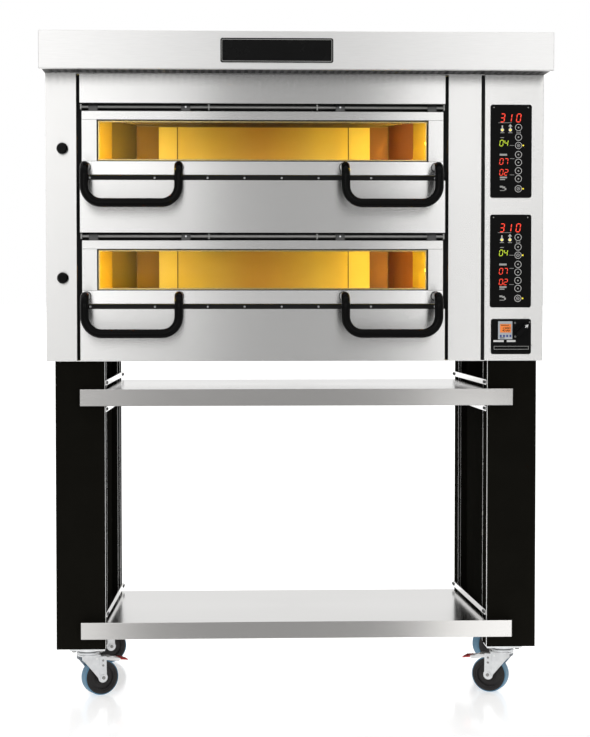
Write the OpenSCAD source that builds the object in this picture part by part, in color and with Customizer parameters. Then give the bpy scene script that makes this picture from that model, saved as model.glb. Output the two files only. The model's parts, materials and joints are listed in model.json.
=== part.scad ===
// Two-deck electric pizza oven on a stand with shelves and braked swivel castors.
// Millimetres, +Z up, front towards -Y. The origin is on the floor under the middle
// of the hood.

/* [Hood] */
// Width over the hood
hood_w = 1492; // [1480:2:1600]
// Depth over the hood and its name plate, front to back
hood_d = 838; // [838:2:900]
// Height of the hood's fascia
hood_h = 110; // [90:5:140]
// How far the hood reaches past the front panels
hood_reach = 122.5; // [110:2.5:140]
// How far the hood reaches past the sides and the back
hood_lip = 10; // [8:1:20]
// Outside radius of the flue collar
flue_r = 74.5; // [60:0.5:90]

/* [Oven body] */
// Height of one baking deck
deck_h = 380; // [380:5:420]
// Height of the lintel over the top door
lintel_h = 88; // [80:2:120]
// Thickness of the folded sheet
sheet = 2; // [1.5:0.5:2]
// Width of the left front pillar
pillar_w = 90; // [85:0.25:95]
// Width of the right front pillar
right_pillar_w = 97; // [90:0.5:100]
// Dark gap between a pillar and the door front
pillar_gap = 9.5; // [8:0.5:10]
// Width of the dark strip beside the control tower
tower_gap = 10.5; // [10:0.5:16]
// Width of the control tower
tower_w = 175; // [165:0.5:180]
// Depth of the folded edges of the front panels
panel_d = 33; // [30:1:34]

/* [Baking chambers] */
// Inside width of a chamber
chamber_w = 1065; // [1000:5:1065]
// Inside depth of a chamber
chamber_d = 400; // [360:5:420]
// Inside height of a chamber
chamber_h = 174; // [170:1:176]
// Thickness of the hearth stones
stone_t = 18; // [12:1:18]
// Thickness of the wool slabs round a chamber
wool_t = 60; // [40:5:80]

/* [Doors] */
// Width of a door leaf
door_w = 1067; // [1060:1:1070]
// Height of a door leaf
door_h = 187; // [185:1:188]
// Thickness of a door leaf
door_t = 34; // [30:1:35]
// Width of the window
window_w = 978; // [900:2:980]
// Height of the window
window_h = 122; // [110:1:124]
// Height of the door's bottom rail
bottom_rail = 39.5; // [38:0.5:44]
// Distance between the two legs of a handle
handle_span = 273; // [240:1:300]
// Handle legs nearest the middle of the door, from its middle
handle_inset = 243; // [220:1:250]
// Radius of the handle tube
grip_r = 13; // [11:0.5:14]
// How far the grip stands off the door
grip_reach = 100; // [65:1:105]
// How far the grip hangs below its fixings
grip_drop = 108.5; // [95:0.5:115]

/* [Controls] */
// Width of the control panels
panel_w = 123; // [115:1:125]
// Height of a deck's control panel
panel_h = 275.5; // [265:0.5:280]
// Width of the main switch panel
switch_w = 120; // [115:1:125]
// Height of the main switch panel
switch_h = 105; // [98:0.5:106]
// Radius of a damper knob
damper_knob_r = 16.5; // [14:0.5:18]
// How far a damper pulls out
damper_travel = 75; // [60:5:80]

/* [Stand] */
// Height of the oven's base above the floor
base_z = 1010; // [960:1:1040]
// Width of a front leg
leg_w = 146; // [130:1:150]
// Depth of a leg
leg_d = 95; // [90:1:100]
// Extra width of a rear leg, on its inner side
rear_leg_extra = 22; // [0:1:25]
// How far the legs stand in from the sides of the oven
leg_inset = 18; // [16:1:40]
// How far the stand's middle lies to the right of the hood's
stand_x = 5; // [0:1:10]
// Depth of the stand, over its legs
stand_d = 633; // [600:1:640]
// Width of a shelf's front edge
shelf_w = 1286; // [1200:2:1300]
// Depth of a shelf
shelf_d = 634; // [600:1:640]
// Height of a shelf's front edge
shelf_lip = 50; // [40:1:55]
// Top of the upper shelf above the floor
upper_shelf_z = 927; // [800:1:930]
// Top of the lower shelf above the floor
lower_shelf_z = 232.5; // [230:0.5:400]

/* [Castors] */
// Height of a castor, from the floor to the leg
caster_h = 147; // [147:1:152]
// Radius of a wheel over its tyre
wheel_r = 54; // [50:1:55]
// Width of a tyre
tyre_w = 35; // [30:1:36]
// Distance from the swivel to the axle
trail = 38; // [34:1:42]
// Distance from the middle of the stand to a swivel
swivel_x = 627; // [615:1:630]

/* [Hidden] */
$fn = 48;

// Outside of the hood and the body
badge_t = 2.5;
badge_x = -57;
hood_y0 = -hood_d / 2 + badge_t;
hood_y1 = hood_d / 2;
body_x = hood_w / 2 - hood_lip;
front_y = hood_y0 + hood_reach;
back_y = hood_y1 - hood_lip;
top_z = base_z + 2 * deck_h + lintel_h;
hood_top = top_z + hood_h;
flue_y = 230;

// Front panels, left to right
front_x0 = -body_x + pillar_w + pillar_gap;
tower_x0 = body_x - tower_w;
right_pillar_x1 = tower_x0 - tower_gap;
front_x1 = right_pillar_x1 - right_pillar_w - pillar_gap;
mid_x = (front_x0 + front_x1) / 2;

// Heights within a deck, from the bottom of its apron
door_z = 170;
sill_h = 13.5;
apron_h = door_z - sill_h - 2;
SILL_SCREWS = [55, 164, 320, 510];
screw_r = 4;
chamber_z = 178;
hinge_z = 369;
port_z = 250;
lamp_z = 262;
damper_z = 246;

// Door leaf and its hinge
leaf_y0 = front_y - 2;
leaf_y1 = leaf_y0 + door_t;
hinge_y = leaf_y0 + 10;
hinge_r = 5;
hinge_play = 0.05;
flange_y = leaf_y1 + 1;
glass_t = 6;
glass_lip = 9;
glass_y = leaf_y0 + 10;
glass_play = 0.5;
EYES = [-500, -228, 228, 500];
eye_w = 26;
eye_r = 8.5;
rod_half = 538;
bracket_t = 4;

// Handle tube: where it is fixed and the radii of its bends
handle_z = door_z + 22.5;
handle_mid_x = mid_x - 5;
top_bend = 30;
grip_bend = 50;

// Chambers: stones on bearers, heating rods and lamps
STONES = 3;
stone_gap = 2;
bearer_h = 9;
bearer_w = 12;
element_r = 3.5;
ELEMENTS = 6;
element_pitch = 62;
lamp_r = 24;
lamp_y = flange_y + 70;

// Damper: its knob and rod, and the port that its plate covers
rod_x = -686;
rod_r = 4;
port_y0 = flange_y + 265;
port_y1 = port_y0 + 80;
port_half_h = 25;
liner_x = mid_x - chamber_w / 2 - sheet;
duct_x0 = -723;
duct_x1 = -675;
duct_t = 1.5;
duct_y0 = port_y0 - 10;
duct_y1 = port_y1 + 10;

// Control tower
tower_mid = tower_x0 + 78;
switch_mid = tower_mid + 2;
upper_panel_z = base_z + 621.5;
lower_panel_z = base_z + 296.5;
switch_panel_z = base_z + 72.25;
panel_t = 2.5;
panel_r = 7;
knob_x = switch_mid + 29;
knob_z = switch_panel_z + 17;
timer_w = 43;
timer_h = 54;
timer_x = switch_mid - 17.5;
timer_z = switch_panel_z + 18.5;
timer_play = 0.3;
gland_x = 640;
gland_y = back_y - 14;
gland_r = 9;

// Stand
leg_x1 = body_x - leg_inset;
leg_x0 = leg_x1 - leg_w;
leg_y0 = front_y + 37;
leg_y1 = leg_y0 + stand_d;
side_panel_inset = 5;
rail_h = 16;
rail_t = 4;
RAIL_Z = [upper_shelf_z + 9, upper_shelf_z - shelf_lip - rail_h - 4, lower_shelf_z + 9];
rail_y0 = leg_y0 + 8;
rail_len = stand_d - 16;
rail_toe = atan(rear_leg_extra / (stand_d - leg_d - 8));

// Castors
axle_r = 6;
axle_play = 0.05;
core_r = 45;
tyre_round = 3.5;
fork_gap = 21;
head_z = 121;
plate_t = 6;
plate_w = 105;
plate_d = 85;
kingpin_r = 6;
pedal_x = 18;
pedal_z = 113;
pedal_pin_r = 3;
caster_y = [leg_y0 + leg_d / 2, leg_y1 - leg_d / 2];

// Place of each castor's swivel, and the way that its wheel trails: 0 is towards +X
FL = [stand_x - swivel_x, caster_y[0], 26];
FR = [stand_x + swivel_x, caster_y[0], 155];
RL = [stand_x - swivel_x, caster_y[1], 20];
RR = [stand_x + swivel_x, caster_y[1], 28];
CASTERS = [FL, FR, RL, RR];

STEEL = [0.78, 0.78, 0.77];
BLACK = [0.07, 0.07, 0.07];
ZINC = [0.72, 0.74, 0.76];

// A block between two corners
module block(x0, x1, y0, y1, z0, z1)
    translate([x0, y0, z0]) cube([x1 - x0, y1 - y0, z1 - z0]);

// A flat plate with round corners, lying in XZ, its front face at y = 0
module round_plate(w, h, t, r)
    rotate([-90, 0, 0]) linear_extrude(t) {
        square([w - 2 * r, h], center = true);
        square([w, h - 2 * r], center = true);
        for (sx = [-1, 1], sz = [-1, 1])
            translate([sx * (w / 2 - r), sz * (h / 2 - r)]) circle(r);
    }

// ---- Hood ----

module hood_crown()
    color(STEEL) difference() {
        block(-hood_w / 2, hood_w / 2, hood_y0, hood_y1, top_z, hood_top);
        block(-hood_w / 2 + sheet, hood_w / 2 - sheet, hood_y0 + sheet,
            hood_y1 - sheet, top_z - 1, hood_top - sheet);
        translate([0, flue_y, top_z]) cylinder(r = flue_r + 3, h = hood_h + 1, $fn = 96);
    }

// Floor of the hood: slotted in front of the body, with a way in from the duct
module hood_pan()
    color(STEEL) translate([0, 0, top_z]) linear_extrude(sheet) difference() {
        translate([sheet - hood_w / 2, hood_y0 + sheet])
            square([hood_w - 2 * sheet, hood_y1 - hood_y0 - 2 * sheet]);
        translate([duct_x0, duct_y0]) square([duct_x1 - duct_x0, duct_y1 - duct_y0]);
        for (row = [0:3], i = [-34:34])
            translate([i * 21 - 5.5, hood_y0 + 18 + row * 25])
                square([11, 11]);
    }

module flue_collar()
    color(ZINC) translate([0, flue_y, hood_top]) difference() {
        union() {
            cylinder(r = flue_r + 25, h = sheet, $fn = 96);
            cylinder(r = flue_r, h = 35, $fn = 96);
        }
        translate([0, 0, -1]) cylinder(r = flue_r - 1.5, h = 37, $fn = 96);
    }

module name_plate()
    color(BLACK) translate([badge_x, hood_y0 - badge_t, top_z + hood_h / 2 - 1])
        round_plate(331, 70.5, badge_t, 6);

// ---- Covers ----

module left_side_cover()
    color(STEEL) {
        block(-body_x, -body_x + sheet, front_y + sheet, back_y, base_z, top_z);
    }

module right_side_cover()
    color(STEEL) difference() {
        block(body_x - sheet, body_x, front_y + sheet, back_y, base_z, top_z);
        for (i = [0:11])
            block(body_x - 5, body_x + 5, front_y + 330, front_y + 480,
                base_z + 90 + i * 14, base_z + 95 + i * 14);
    }

module back_cover()
    color(STEEL) difference() {
        block(-body_x, body_x, back_y, back_y + sheet, base_z, top_z);
        for (i = [0:13], z = [90, 560])
            block(tower_x0 + 30, tower_x0 + 150, back_y - 5, back_y + 5,
                base_z + z + i * 14, base_z + z + 5 + i * 14);
    }

module top_cover()
    color(STEEL) difference() {
        block(-body_x + sheet, body_x - sheet, front_y + sheet, back_y,
            top_z - sheet, top_z);
        block(duct_x0, duct_x1, duct_y0, duct_y1, top_z - 5, top_z + 5);
    }

module base_pan()
    color(STEEL) difference() {
        block(-body_x + sheet, body_x - sheet, front_y + sheet, back_y,
            base_z, base_z + sheet);
        translate([gland_x, gland_y, base_z - 1]) cylinder(r = gland_r, h = 10);
    }

// ---- Front panels ----

// A front panel with its top and bottom edges folded back
module folded_panel(x0, x1, z0, z1) {
    block(x0, x1, front_y, front_y + sheet, z0, z1);
    for (z = [z0, z1 - sheet])
        block(x0, x1, front_y + sheet, front_y + panel_d, z, z + sheet);
}

// A pillar with both long edges folded back
module pillar(x0, x1) {
    block(x0, x1, front_y, front_y + sheet, base_z, top_z);
    for (x = [x0, x1 - sheet])
        block(x, x + sheet, front_y + sheet, front_y + panel_d, base_z + sheet,
            top_z - sheet);
}

module front_pillars()
    color(STEEL) {
        difference() {
            pillar(-body_x, -body_x + pillar_w);
            block(-body_x - 1, -body_x + sheet, front_y + sheet, front_y + 40,
                base_z - 1, top_z + 1);
            for (deck = [0, 1])
                translate([rod_x, front_y - 1, deck_z(deck) + damper_z])
                    rotate([-90, 0, 0]) cylinder(r = rod_r + 1, h = 10);
        }
        pillar(right_pillar_x1 - right_pillar_w, right_pillar_x1);
    }

function deck_z(deck) = base_z + deck * deck_h;

module door_lintel()
    color(STEEL) folded_panel(front_x0, front_x1, top_z - lintel_h, top_z - sheet);

module apron(deck)
    color(STEEL) folded_panel(front_x0, front_x1,
        deck_z(deck) + (deck == 0 ? sheet : 0), deck_z(deck) + apron_h);

// Dark bars under each door and the dark strip beside the control tower
module seal_strips()
    color(BLACK) {
        for (deck = [0, 1])
            block(mid_x - door_w / 2, mid_x + door_w / 2, front_y + 3, front_y + panel_d,
                deck_z(deck) + apron_h, deck_z(deck) + apron_h + sill_h);
        block(right_pillar_x1, tower_x0, front_y + 7, front_y + panel_d,
            base_z + sheet, top_z - sheet);
    }

module screws()
    color(ZINC) {
        for (deck = [0, 1], x = SILL_SCREWS, side = [-1, 1])
            translate([mid_x + side * x, front_y + 3, deck_z(deck) + apron_h + sill_h / 2])
                rotate([90, 0, 0]) cylinder(r = screw_r, h = 2);
        for (side = [-1, 1], z = RAIL_Z, y = [14, 34, rail_len - 34, rail_len - 14])
            translate([stand_x, 0, 0]) rail_frame(side, z)
                translate([rail_t, y, rail_h / 2]) rotate([0, 90, 0])
                    cylinder(r = screw_r, h = 2.5);
    }

// ---- Hinges, chambers and what they hold ----

// A fixed rod over each door, held by brackets on the chamber's flange
module hinge_rods()
    color(ZINC) for (deck = [0, 1]) translate([mid_x, hinge_y, deck_z(deck) + hinge_z]) {
        translate([-rod_half, 0, 0]) rotate([0, 90, 0])
            cylinder(r = hinge_r, h = 2 * rod_half);
        for (x = [-rod_half, rod_half - bracket_t, -162, 162 - bracket_t])
            block(x, x + bracket_t, -7, flange_y - hinge_y, -8, 8);
    }

// A chamber: a steel box open at the front, with a flange behind the front panels
module chamber(deck)
    color([0.62, 0.56, 0.44]) translate([mid_x, 0, deck_z(deck)]) difference() {
        union() {
            block(-chamber_w / 2 - sheet, chamber_w / 2 + sheet, flange_y,
                flange_y + chamber_d + sheet, chamber_z - sheet,
                chamber_z + chamber_h + sheet);
            block(front_x0 - mid_x - pillar_gap + sheet,
                front_x1 - mid_x + pillar_gap - sheet, flange_y, flange_y + sheet,
                sheet, deck_h + (deck == 1 ? lintel_h - sheet : 0));
        }
        block(-chamber_w / 2, chamber_w / 2, flange_y - 1, flange_y + chamber_d,
            chamber_z, chamber_z + chamber_h);
        block(-chamber_w / 2 - 5, -chamber_w / 2 + 5, port_y0, port_y1,
            port_z - port_half_h, port_z + port_half_h);
        translate([0, lamp_y, lamp_z]) rotate([0, 90, 0])
            cylinder(r = lamp_r + 1, h = chamber_w + 20, center = true);
    }

// Stone slabs side by side on the floor of each chamber, on low bearers
module hearth_stones()
    color([0.66, 0.58, 0.45]) for (deck = [0, 1], i = [0:STONES - 1]) {
        w = (chamber_w - stone_gap * (STONES + 1)) / STONES;
        x0 = mid_x - chamber_w / 2 + stone_gap + i * (w + stone_gap);
        z0 = deck_z(deck) + chamber_z;
        y0 = flange_y + 6;
        y1 = flange_y + chamber_d - 4;
        block(x0, x0 + w, y0, y1, z0 + bearer_h, z0 + bearer_h + stone_t);
        for (y = [y0, y1 - bearer_w])
            block(x0, x0 + w, y, y + bearer_w, z0, z0 + bearer_h);
    }

// Rows of straight heating rods under the stones and below each chamber's ceiling
module heating_elements()
    color([0.30, 0.28, 0.27]) for (deck = [0, 1], i = [0:ELEMENTS - 1], top = [0, 1])
        translate([mid_x - chamber_w / 2 + 3, flange_y + 45 + i * element_pitch,
            deck_z(deck) + chamber_z + (top == 1 ? chamber_h - 5 : bearer_h / 2)])
            rotate([0, 90, 0]) cylinder(r = element_r, h = chamber_w - 6);

// A lamp through each side wall of each chamber, near the door
module oven_lamps()
    color([0.95, 0.85, 0.55]) for (deck = [0, 1], side = [-1, 1])
        translate([mid_x + side * chamber_w / 2, lamp_y, deck_z(deck) + lamp_z])
            rotate([0, side * 90, 0]) {
                translate([0, 0, -8]) cylinder(r = lamp_r - 0.5, h = 48);
                translate([0, 0, -6]) difference() {
                    cylinder(r = lamp_r + 8, h = 5.8);
                    translate([0, 0, -1]) cylinder(r = lamp_r - 0.6, h = 8);
                }
            }

// Wool slabs over, under, behind and beside each chamber
module insulation() {
    x0 = liner_x + 0.5;
    x1 = right_pillar_x1 + 7;
    y0 = flange_y + sheet + 1;
    rear_y = flange_y + chamber_d + sheet + 1;
    right_x = mid_x + chamber_w / 2 + sheet + 1;
    side_y = lamp_y + lamp_r + 4;
    color([0.86, 0.80, 0.55]) for (deck = [0, 1]) {
        z0 = deck_z(deck) + chamber_z - sheet - 1;
        z1 = z0 + chamber_h + 2 * sheet + 2;
        block(x0, x1, y0, rear_y + wool_t, z0 - wool_t, z0);
        block(x0, x1, y0, rear_y + wool_t, z1, z1 + wool_t);
        block(x0, x1, rear_y, rear_y + wool_t, z0 + 1, z1 - 1);
        block(right_x, right_x + wool_t, side_y, rear_y - 1, z0 + 1, z1 - 1);
        block(liner_x - 33, liner_x - 1, side_y, port_y0 - damper_travel - 30,
            z0 + 1, z1 - 1);
    }
}

// A flue at the left side with a neck at each chamber's port
module exhaust_duct()
    color(ZINC) difference() {
        union() {
            block(duct_x0, duct_x1, duct_y0, duct_y1, base_z + 60, top_z);
            for (deck = [0, 1])
                block(duct_x1 - 1, liner_x - 6, port_y0 - duct_t, port_y1 + duct_t,
                    deck_z(deck) + port_z - port_half_h - duct_t,
                    deck_z(deck) + port_z + port_half_h + duct_t);
        }
        block(duct_x0 + duct_t, duct_x1 - duct_t, duct_y0 + duct_t, duct_y1 - duct_t,
            base_z + 62, top_z + 1);
        for (deck = [0, 1])
            block(duct_x1 - 10, liner_x, port_y0, port_y1,
                deck_z(deck) + port_z - port_half_h, deck_z(deck) + port_z + port_half_h);
    }

// ---- Control tower ----

// Front skin and inner wall of the tower, with cut-outs for the controls
module control_tower()
    color(STEEL) difference() {
        union() {
            block(tower_x0, body_x, front_y, front_y + sheet, base_z, top_z);
            block(tower_x0, tower_x0 + sheet, front_y + sheet, back_y - 1,
                base_z + sheet, top_z - sheet);
        }
        for (z = [upper_panel_z, lower_panel_z])
            block(tower_mid - panel_w / 2 + 8, tower_mid + panel_w / 2 - 8, front_y - 1,
                front_y + 10, z - panel_h / 2 + 12, z + panel_h / 2 - 12);
        block(switch_mid - 50, knob_x - 22, front_y - 1, front_y + 10,
            switch_panel_z - 18, switch_panel_z + switch_h / 2 - 4);
        translate([knob_x, front_y - 1, knob_z]) rotate([-90, 0, 0])
            cylinder(r = 8, h = 10);
    }

// Membrane panel of each deck, with its controller behind the skin
module control_panels()
    color(BLACK) for (z = [upper_panel_z, lower_panel_z]) translate([tower_mid, 0, z]) {
        translate([0, front_y - panel_t, 0])
            round_plate(panel_w, panel_h, panel_t, panel_r);
        block(-panel_w / 2 + 9, panel_w / 2 - 9, front_y, front_y + 42,
            -panel_h / 2 + 13, panel_h / 2 - 13);
    }

module switch_panel()
    color(BLACK) difference() {
        translate([switch_mid, front_y - panel_t, switch_panel_z])
            round_plate(switch_w, switch_h, panel_t, panel_r);
        block(timer_x - timer_w / 2, timer_x + timer_w / 2, front_y - 5, front_y + 1,
            timer_z - timer_h / 2, timer_z + timer_h / 2);
        translate([knob_x, front_y - 10, knob_z]) rotate([-90, 0, 0])
            cylinder(r = 6, h = 20);
    }

// Clock module: a bezel in the switch panel and its body behind the skin
module timer_module()
    color([0.75, 0.78, 0.80])
        block(timer_x - timer_w / 2 + timer_play, timer_x + timer_w / 2 - timer_play,
            front_y - 5, front_y + 45, timer_z - timer_h / 2 + timer_play,
            timer_z + timer_h / 2 - timer_play);

// Rotary main switch: shaft, round base and a bar handle
module main_switch_knob()
    color([0.10, 0.10, 0.11]) translate([knob_x, front_y, knob_z]) {
        rotate([-90, 0, 0]) translate([0, 0, -4]) cylinder(r = 5, h = 44);
        rotate([90, 0, 0]) translate([0, 0, 3]) cylinder(r = 17, h = 9);
        rotate([0, -45, 0]) translate([5, -27, 0]) rotate([90, 0, 0])
            translate([0, 0, -16]) linear_extrude(16) {
                square([34, 14], center = true);
                translate([17, 0]) circle(7);
                translate([-17, 0]) circle(7);
            }
    }

// Contactors and a terminal block on a mounting rail inside the tower
module contactor_rail()
    color([0.55, 0.58, 0.60]) {
        rail_x = tower_x0 + sheet + 6;
        block(tower_x0 + sheet, rail_x, 60, 350, base_z + 250, base_z + 285);
        for (i = [0:4])
            block(rail_x, rail_x + 78, 66 + i * 56, 66 + i * 56 + 46,
                base_z + 225, base_z + 310);
        block(tower_x0 + sheet, tower_x0 + sheet + 40, 60, 350,
            base_z + 120, base_z + 165);
    }

// Cable gland under the base, behind the stand
module cable_gland()
    color([0.15, 0.15, 0.16]) translate([gland_x, gland_y, base_z]) difference() {
        union() {
            translate([0, 0, -6]) cylinder(r = 13, h = 6, $fn = 6);
            translate([0, 0, -24]) cylinder(r = 11, h = 19);
            translate([0, 0, -1]) cylinder(r = gland_r, h = 14);
            translate([0, 0, sheet]) cylinder(r = 13, h = 5, $fn = 6);
        }
        translate([0, 0, -30]) cylinder(r = 6, h = 60);
    }

// ---- Doors ----

// Leaf with a rebated window and eyes that turn on the hinge rod
module door_frame(deck)
    color(STEEL) translate([mid_x, 0, deck_z(deck)]) difference() {
        union() {
            block(-door_w / 2, door_w / 2, leaf_y0, leaf_y1, door_z, door_z + door_h);
            for (x = EYES) {
                block(x - eye_w / 2, x + eye_w / 2, hinge_y - 7, hinge_y + 7,
                    door_z + door_h - 1, hinge_z);
                translate([x - eye_w / 2, hinge_y, hinge_z]) rotate([0, 90, 0])
                    cylinder(r = eye_r, h = eye_w);
            }
        }
        block(-window_w / 2, window_w / 2, leaf_y0 - 1, leaf_y1 + 1,
            door_z + bottom_rail, door_z + bottom_rail + window_h);
        block(-window_w / 2 - glass_lip, window_w / 2 + glass_lip, glass_y,
            leaf_y1 + 1, door_z + bottom_rail - glass_lip,
            door_z + bottom_rail + window_h + glass_lip);
        translate([-door_w, hinge_y, hinge_z]) rotate([0, 90, 0])
            cylinder(r = hinge_r + hinge_play, h = 2 * door_w);
    }

module door_glass(deck)
    color([0.95, 0.80, 0.35, 0.4]) translate([mid_x, 0, deck_z(deck)])
        block(-window_w / 2 - glass_lip + glass_play,
            window_w / 2 + glass_lip - glass_play, glass_y, glass_y + glass_t,
            door_z + bottom_rail - glass_lip + glass_play,
            door_z + bottom_rail + window_h + glass_lip - glass_play);

// A quarter bend of the handle tube
module bend(r)
    rotate_extrude(angle = 90) translate([r, 0]) circle(grip_r, $fn = 32);

// Right half of a handle, from the door's face to the middle of the grip
module half_handle() {
    leg_x = handle_span / 2;
    translate([leg_x, 0, 0]) {
        rotate([90, 0, 0]) cylinder(r = grip_r + 1.5, h = 3);
        rotate([90, 0, 0]) cylinder(r = grip_r, h = grip_reach - top_bend);
        translate([0, top_bend - grip_reach, -top_bend]) rotate([90, 0, -90])
            bend(top_bend);
        translate([0, -grip_reach, grip_bend - grip_drop])
            cylinder(r = grip_r, h = grip_drop - grip_bend - top_bend);
    }
    translate([leg_x - grip_bend, -grip_reach, grip_bend - grip_drop])
        rotate([-90, 0, 0]) bend(grip_bend);
    translate([0, -grip_reach, -grip_drop]) rotate([0, 90, 0])
        cylinder(r = grip_r, h = leg_x - grip_bend);
}

module door_handles(deck)
    color(BLACK) for (side = [-1, 1])
        translate([handle_mid_x + side * (handle_inset + handle_span / 2), leaf_y0,
            deck_z(deck) + handle_z]) {
            half_handle();
            mirror([1, 0, 0]) half_handle();
        }

// ---- Dampers ----

module damper_knob(deck)
    color(BLACK) translate([rod_x, front_y, deck_z(deck) + damper_z])
        rotate([90, 0, 0]) difference() {
            union() {
                translate([0, 0, 1]) cylinder(r = 11, h = 12);
                translate([0, 0, 12]) cylinder(r1 = 13, r2 = damper_knob_r, h = 6);
                translate([0, 0, 18]) cylinder(r1 = damper_knob_r, r2 = 12, h = 9);
            }
            cylinder(r = rod_r, h = 16);
        }

// Rod, arm and the plate that slides over the chamber's port
module damper_slide(deck)
    color(ZINC) translate([0, 0, deck_z(deck)]) {
        translate([rod_x, front_y - 16, damper_z]) rotate([-90, 0, 0])
            cylinder(r = rod_r, h = port_y0 - 13 - front_y + 16);
        block(rod_x - 5, liner_x - 2, port_y0 - 15, port_y0 - 11,
            damper_z - 8, damper_z + 8);
        block(liner_x - 4, liner_x - 2, port_y0 - 15, port_y1 + 6,
            port_z - port_half_h - 5, port_z + port_half_h + 5);
    }

// ---- Stand ----

module leg(x0, x1, y0, y1) difference() {
    block(x0, x1, y0, y1, caster_h, base_z);
    block(x0 + sheet, x1 - sheet, y0 + sheet, y1 - sheet, caster_h + 4, base_z + 1);
}

module stand_legs()
    color(BLACK) translate([stand_x, 0, 0]) for (side = [0, 1]) mirror([side, 0, 0]) {
        leg(leg_x0, leg_x1, leg_y0, leg_y0 + leg_d);
        leg(leg_x0 - rear_leg_extra, leg_x1, leg_y1 - leg_d, leg_y1);
    }

// Inner and outer skins between the front and rear legs
module stand_side_panels()
    color(BLACK) for (side = [0, 1], x = [leg_x0 + side_panel_inset, leg_x1 - sheet])
        translate([stand_x, 0, 0]) mirror([side, 0, 0])
            block(x, x + sheet, leg_y0 + leg_d, leg_y1 - leg_d, caster_h + 15, base_z);

// Places its children along a shelf rail: Y runs back along it, X points inwards
module rail_frame(side, z)
    mirror([side < 0 ? 0 : 1, 0, 0]) translate([-leg_x0 + 0.2, rail_y0, z])
        rotate([0, 0, -rail_toe]) children();

module stand_rails()
    color(STEEL) translate([stand_x, 0, 0]) for (side = [-1, 1], z = RAIL_Z)
        rail_frame(side, z) cube([rail_t, rail_len, rail_h]);

// A tray between the legs whose front edge runs across in front of them
module shelf(shelf_top) {
    y0 = front_y + 2;
    rear_x = leg_x0 - rear_leg_extra - 0.5;
    fold = 18;
    color(STEEL) translate([stand_x, 0, 0]) {
        difference() {
            block(-shelf_w / 2, shelf_w / 2, y0, leg_y0 - 0.5, shelf_top - shelf_lip,
                shelf_top);
            block(-shelf_w / 2 + sheet, shelf_w / 2 - sheet, y0 + sheet, leg_y0 + 1,
                shelf_top - shelf_lip + sheet, shelf_top - sheet);
            block(-shelf_w / 2 - 1, shelf_w / 2 + 1, y0 + fold, leg_y0 + 1,
                shelf_top - shelf_lip - 1, shelf_top - sheet);
        }
        block(0.5 - leg_x0, leg_x0 - 0.5, leg_y0 - 1, leg_y1 - leg_d - 1,
            shelf_top - sheet, shelf_top);
        block(-rear_x, rear_x, leg_y1 - leg_d - 2, y0 + shelf_d, shelf_top - sheet,
            shelf_top);
        block(-rear_x, rear_x, y0 + shelf_d - sheet, y0 + shelf_d,
            shelf_top - shelf_lip, shelf_top);
    }
}

// ---- Castors ----

// Top plate, fixed half of the race and kingpin, one under each leg
module caster_plates()
    color(ZINC) for (c = CASTERS) translate([c[0], c[1], 0]) {
        translate([-plate_w / 2, -plate_d / 2, caster_h - plate_t])
            cube([plate_w, plate_d, plate_t]);
        translate([0, 0, head_z + 14]) cylinder(r = 30, h = caster_h - head_z - 14);
        translate([0, 0, head_z - 3]) cylinder(r = kingpin_r, h = 20);
        translate([0, 0, head_z - 4]) cylinder(r = 9, h = 3.5, $fn = 6);
    }

// Castor frame: Z is the swivel, X the way the wheel trails, Y the axle
module caster_frame(c) translate([c[0], c[1], 0]) rotate([0, 0, c[2]]) children();

// Outline of a fork leg, in XZ
module fork_outline() difference() {
    union() {
        polygon([[-28, head_z + 3], [30, head_z + 3], [trail + 15, wheel_r],
            [trail - 15, wheel_r], [-20, head_z - 16], [-28, head_z - 10]]);
        translate([trail, wheel_r]) circle(15);
    }
    translate([pedal_x, pedal_z]) circle(pedal_pin_r + axle_play);
}

module fork(c)
    color(ZINC) caster_frame(c) {
        for (y = [-fork_gap - 3, fork_gap])
            translate([0, y + 3, 0]) rotate([90, 0, 0]) linear_extrude(3) fork_outline();
        difference() {
            union() {
                block(-28, 30, -fork_gap - 3, fork_gap + 3, head_z, head_z + 3);
                translate([0, 0, head_z]) cylinder(r = 32, h = 3);
                translate([0, 0, head_z + 3]) cylinder(r1 = 31, r2 = 26, h = 10.5);
            }
            translate([0, 0, head_z - 5])
                cylinder(r = kingpin_r + axle_play, h = 30);
        }
        translate([trail, 0, wheel_r]) rotate([90, 0, 0]) {
            cylinder(r = axle_r, h = 2 * fork_gap + 10, center = true);
            for (side = [-1, 1])
                translate([0, 0, side * (fork_gap + 5.5)])
                    cylinder(r = 10, h = 5, center = true, $fn = 6);
        }
    }

module wheel(c)
    color([0.22, 0.20, 0.21]) caster_frame(c) translate([trail, 0, wheel_r])
        rotate([90, 0, 0]) difference() {
            union() {
                cylinder(r = core_r, h = tyre_w - 5, center = true);
                cylinder(r = 15, h = 2 * fork_gap - 1, center = true);
            }
            for (side = [-1, 1])
                translate([0, 0, side * tyre_w / 2]) rotate_extrude()
                    translate([26, 0]) square([20, 14], center = true);
            cylinder(r = axle_r + axle_play, h = 80, center = true);
        }

module tyre(c)
    color([0.25, 0.52, 0.74]) caster_frame(c) translate([trail, 0, wheel_r])
        rotate([90, 0, 0]) rotate_extrude($fn = 96) {
            translate([core_r, -tyre_w / 2])
                square([wheel_r - core_r - tyre_round, tyre_w]);
            translate([core_r, tyre_round - tyre_w / 2])
                square([wheel_r - core_r, tyre_w - 2 * tyre_round]);
            for (side = [-1, 1])
                translate([wheel_r - tyre_round, side * (tyre_w / 2 - tyre_round)])
                    circle(tyre_round);
        }

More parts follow.
